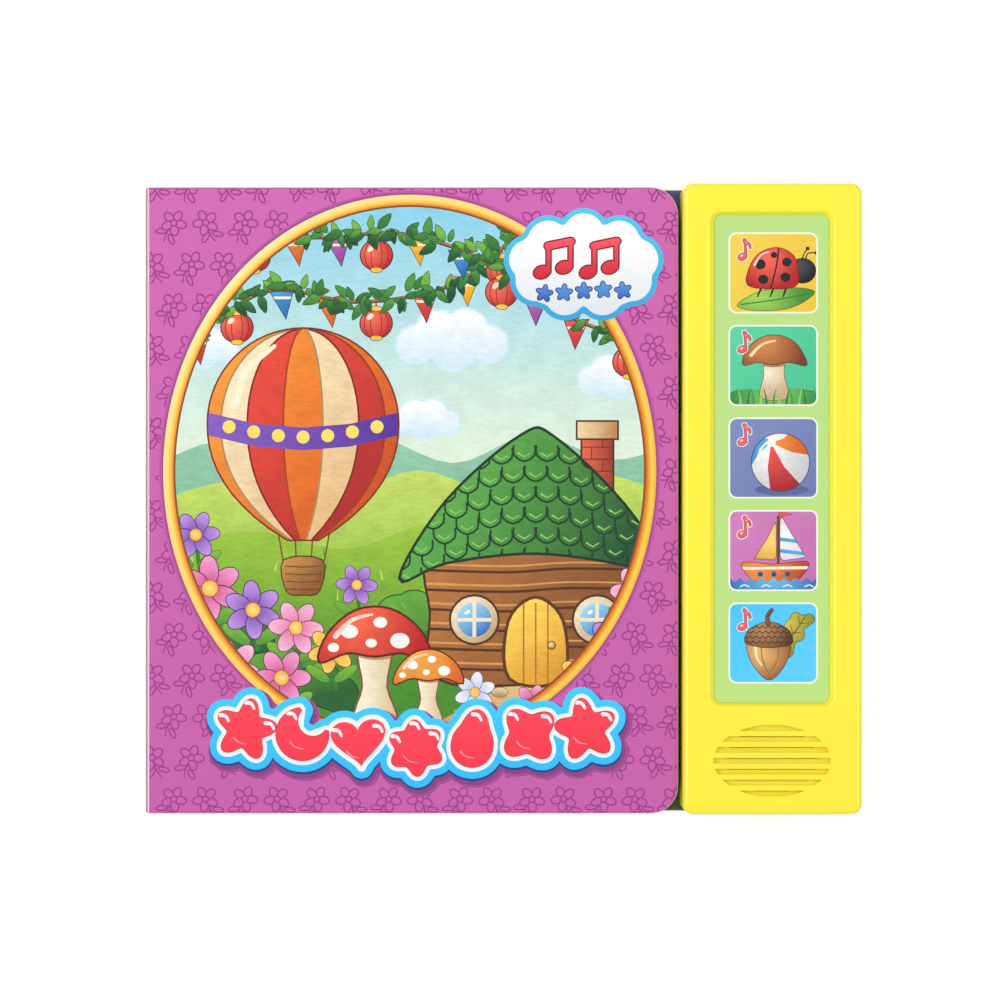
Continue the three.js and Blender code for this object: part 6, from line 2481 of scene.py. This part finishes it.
@dataclass(frozen=True)
class Studio:
    """Camera, lamps, world and floor."""

    focal: float = 148.2
    height: float = 1163.35
    shift_x: float = -0.98
    shift_y: float = -0.295
    sky: float = 0.62
    floor_glow: float = 0.76

    def build(self) -> None:
        """Sets everything up."""
        self.camera()
        self.lamp("left_softbox", (-900, 100, 1100), 800, 7.2)
        self.lamp("right_softbox", (900, 100, 1100), 800, 4.1)
        self.world()
        self.floor()

    def camera(self) -> None:
        """A camera that looks straight down."""
        data = bpy.data.cameras.new("camera")
        data.lens = self.focal
        data.sensor_width = 36.0
        camera = bpy.data.objects.new("camera", data)
        camera.location = Vector((self.shift_x, self.shift_y, self.height)) * MM
        bpy.context.scene.collection.objects.link(camera)
        bpy.context.scene.camera = camera

    def lamp(self, name: str, place: tuple[float, float, float], size: float, power: float) -> None:
        """A square soft lamp that faces the book.

        Args:
            name: Its name.
            place: Where it stands, in millimetres.
            size: Its side, in millimetres.
            power: In watts.
        """
        data = bpy.data.lights.new(name, "AREA")
        data.size = size * MM
        data.energy = power
        lamp = bpy.data.objects.new(name, data)
        lamp.location = Vector(place) * MM
        lamp.rotation_euler = (-lamp.location).to_track_quat("-Z", "Y").to_euler()
        bpy.context.scene.collection.objects.link(lamp)

    def seen(self, tree: bpy.types.NodeTree) -> bpy.types.NodeSocket:
        """1 for rays that show the background: camera, mirror and glass rays.

        Args:
            tree: The node tree.

        Returns:
            The socket with the share.
        """
        path = add(tree, "ShaderNodeLightPath").outputs
        either = add(tree, "ShaderNodeMath", {0: path["Is Camera Ray"], 1: path["Is Glossy Ray"]},
                     operation="MAXIMUM")
        all_three = add(tree, "ShaderNodeMath", {0: either.outputs[0], 1: path["Is Transmission Ray"]},
                        operation="MAXIMUM")
        return all_three.outputs[0]

    def world(self) -> None:
        """White where it is seen, and a softer grey as light."""
        world = bpy.data.worlds.new("studio")
        world.use_nodes = True
        tree = world.node_tree
        tree.nodes.clear()
        strength = add(tree, "ShaderNodeMix", {0: self.seen(tree), 2: self.sky, 3: 1.0}, data_type="FLOAT")
        sky = add(tree, "ShaderNodeBackground", {"Color": (1, 1, 1, 1), "Strength": strength.outputs[0]})
        add(tree, "ShaderNodeOutputWorld", {"Surface": sky.outputs[0]})
        bpy.context.scene.world = world

    def floor(self) -> None:
        """A pale table top, which shows white and keeps the book's soft shadow."""
        size = 3000.0
        ring = [(-size, -size), (size, -size), (size, size), (-size, size)]
        table = loft("floor", [(-20.0, ring), (0.0, ring)])
        material = bpy.data.materials.new("white_table")
        material.use_nodes = True
        tree = material.node_tree
        tree.nodes.clear()
        seen = self.seen(tree)
        white = add(tree, "ShaderNodeMix", {
            0: seen, 6: (*linear("e6e6e6"), 1), 7: (0.35, 0.35, 0.35, 1)}, data_type="RGBA")
        matt = add(tree, "ShaderNodeBsdfDiffuse", {"Color": white.outputs[2]})
        strength = add(tree, "ShaderNodeMath", {0: seen, 1: self.floor_glow}, operation="MULTIPLY")
        light = add(tree, "ShaderNodeEmission", {"Strength": strength.outputs[0]})
        both = add(tree, "ShaderNodeAddShader", {0: matt.outputs[0], 1: light.outputs[0]})
        add(tree, "ShaderNodeOutputMaterial", {"Surface": both.outputs[0]})
        table.data.materials.append(material)
        bpy.context.scene.view_settings.view_transform = "Standard"


def main() -> None:
    """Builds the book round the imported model."""
    logging.basicConfig(level=logging.INFO, format="%(message)s")
    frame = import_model()
    BoardBook().build()
    SoundModule().build()
    dress_nodes(frame)
    Studio().build()


if __name__ == "__main__":
    main()
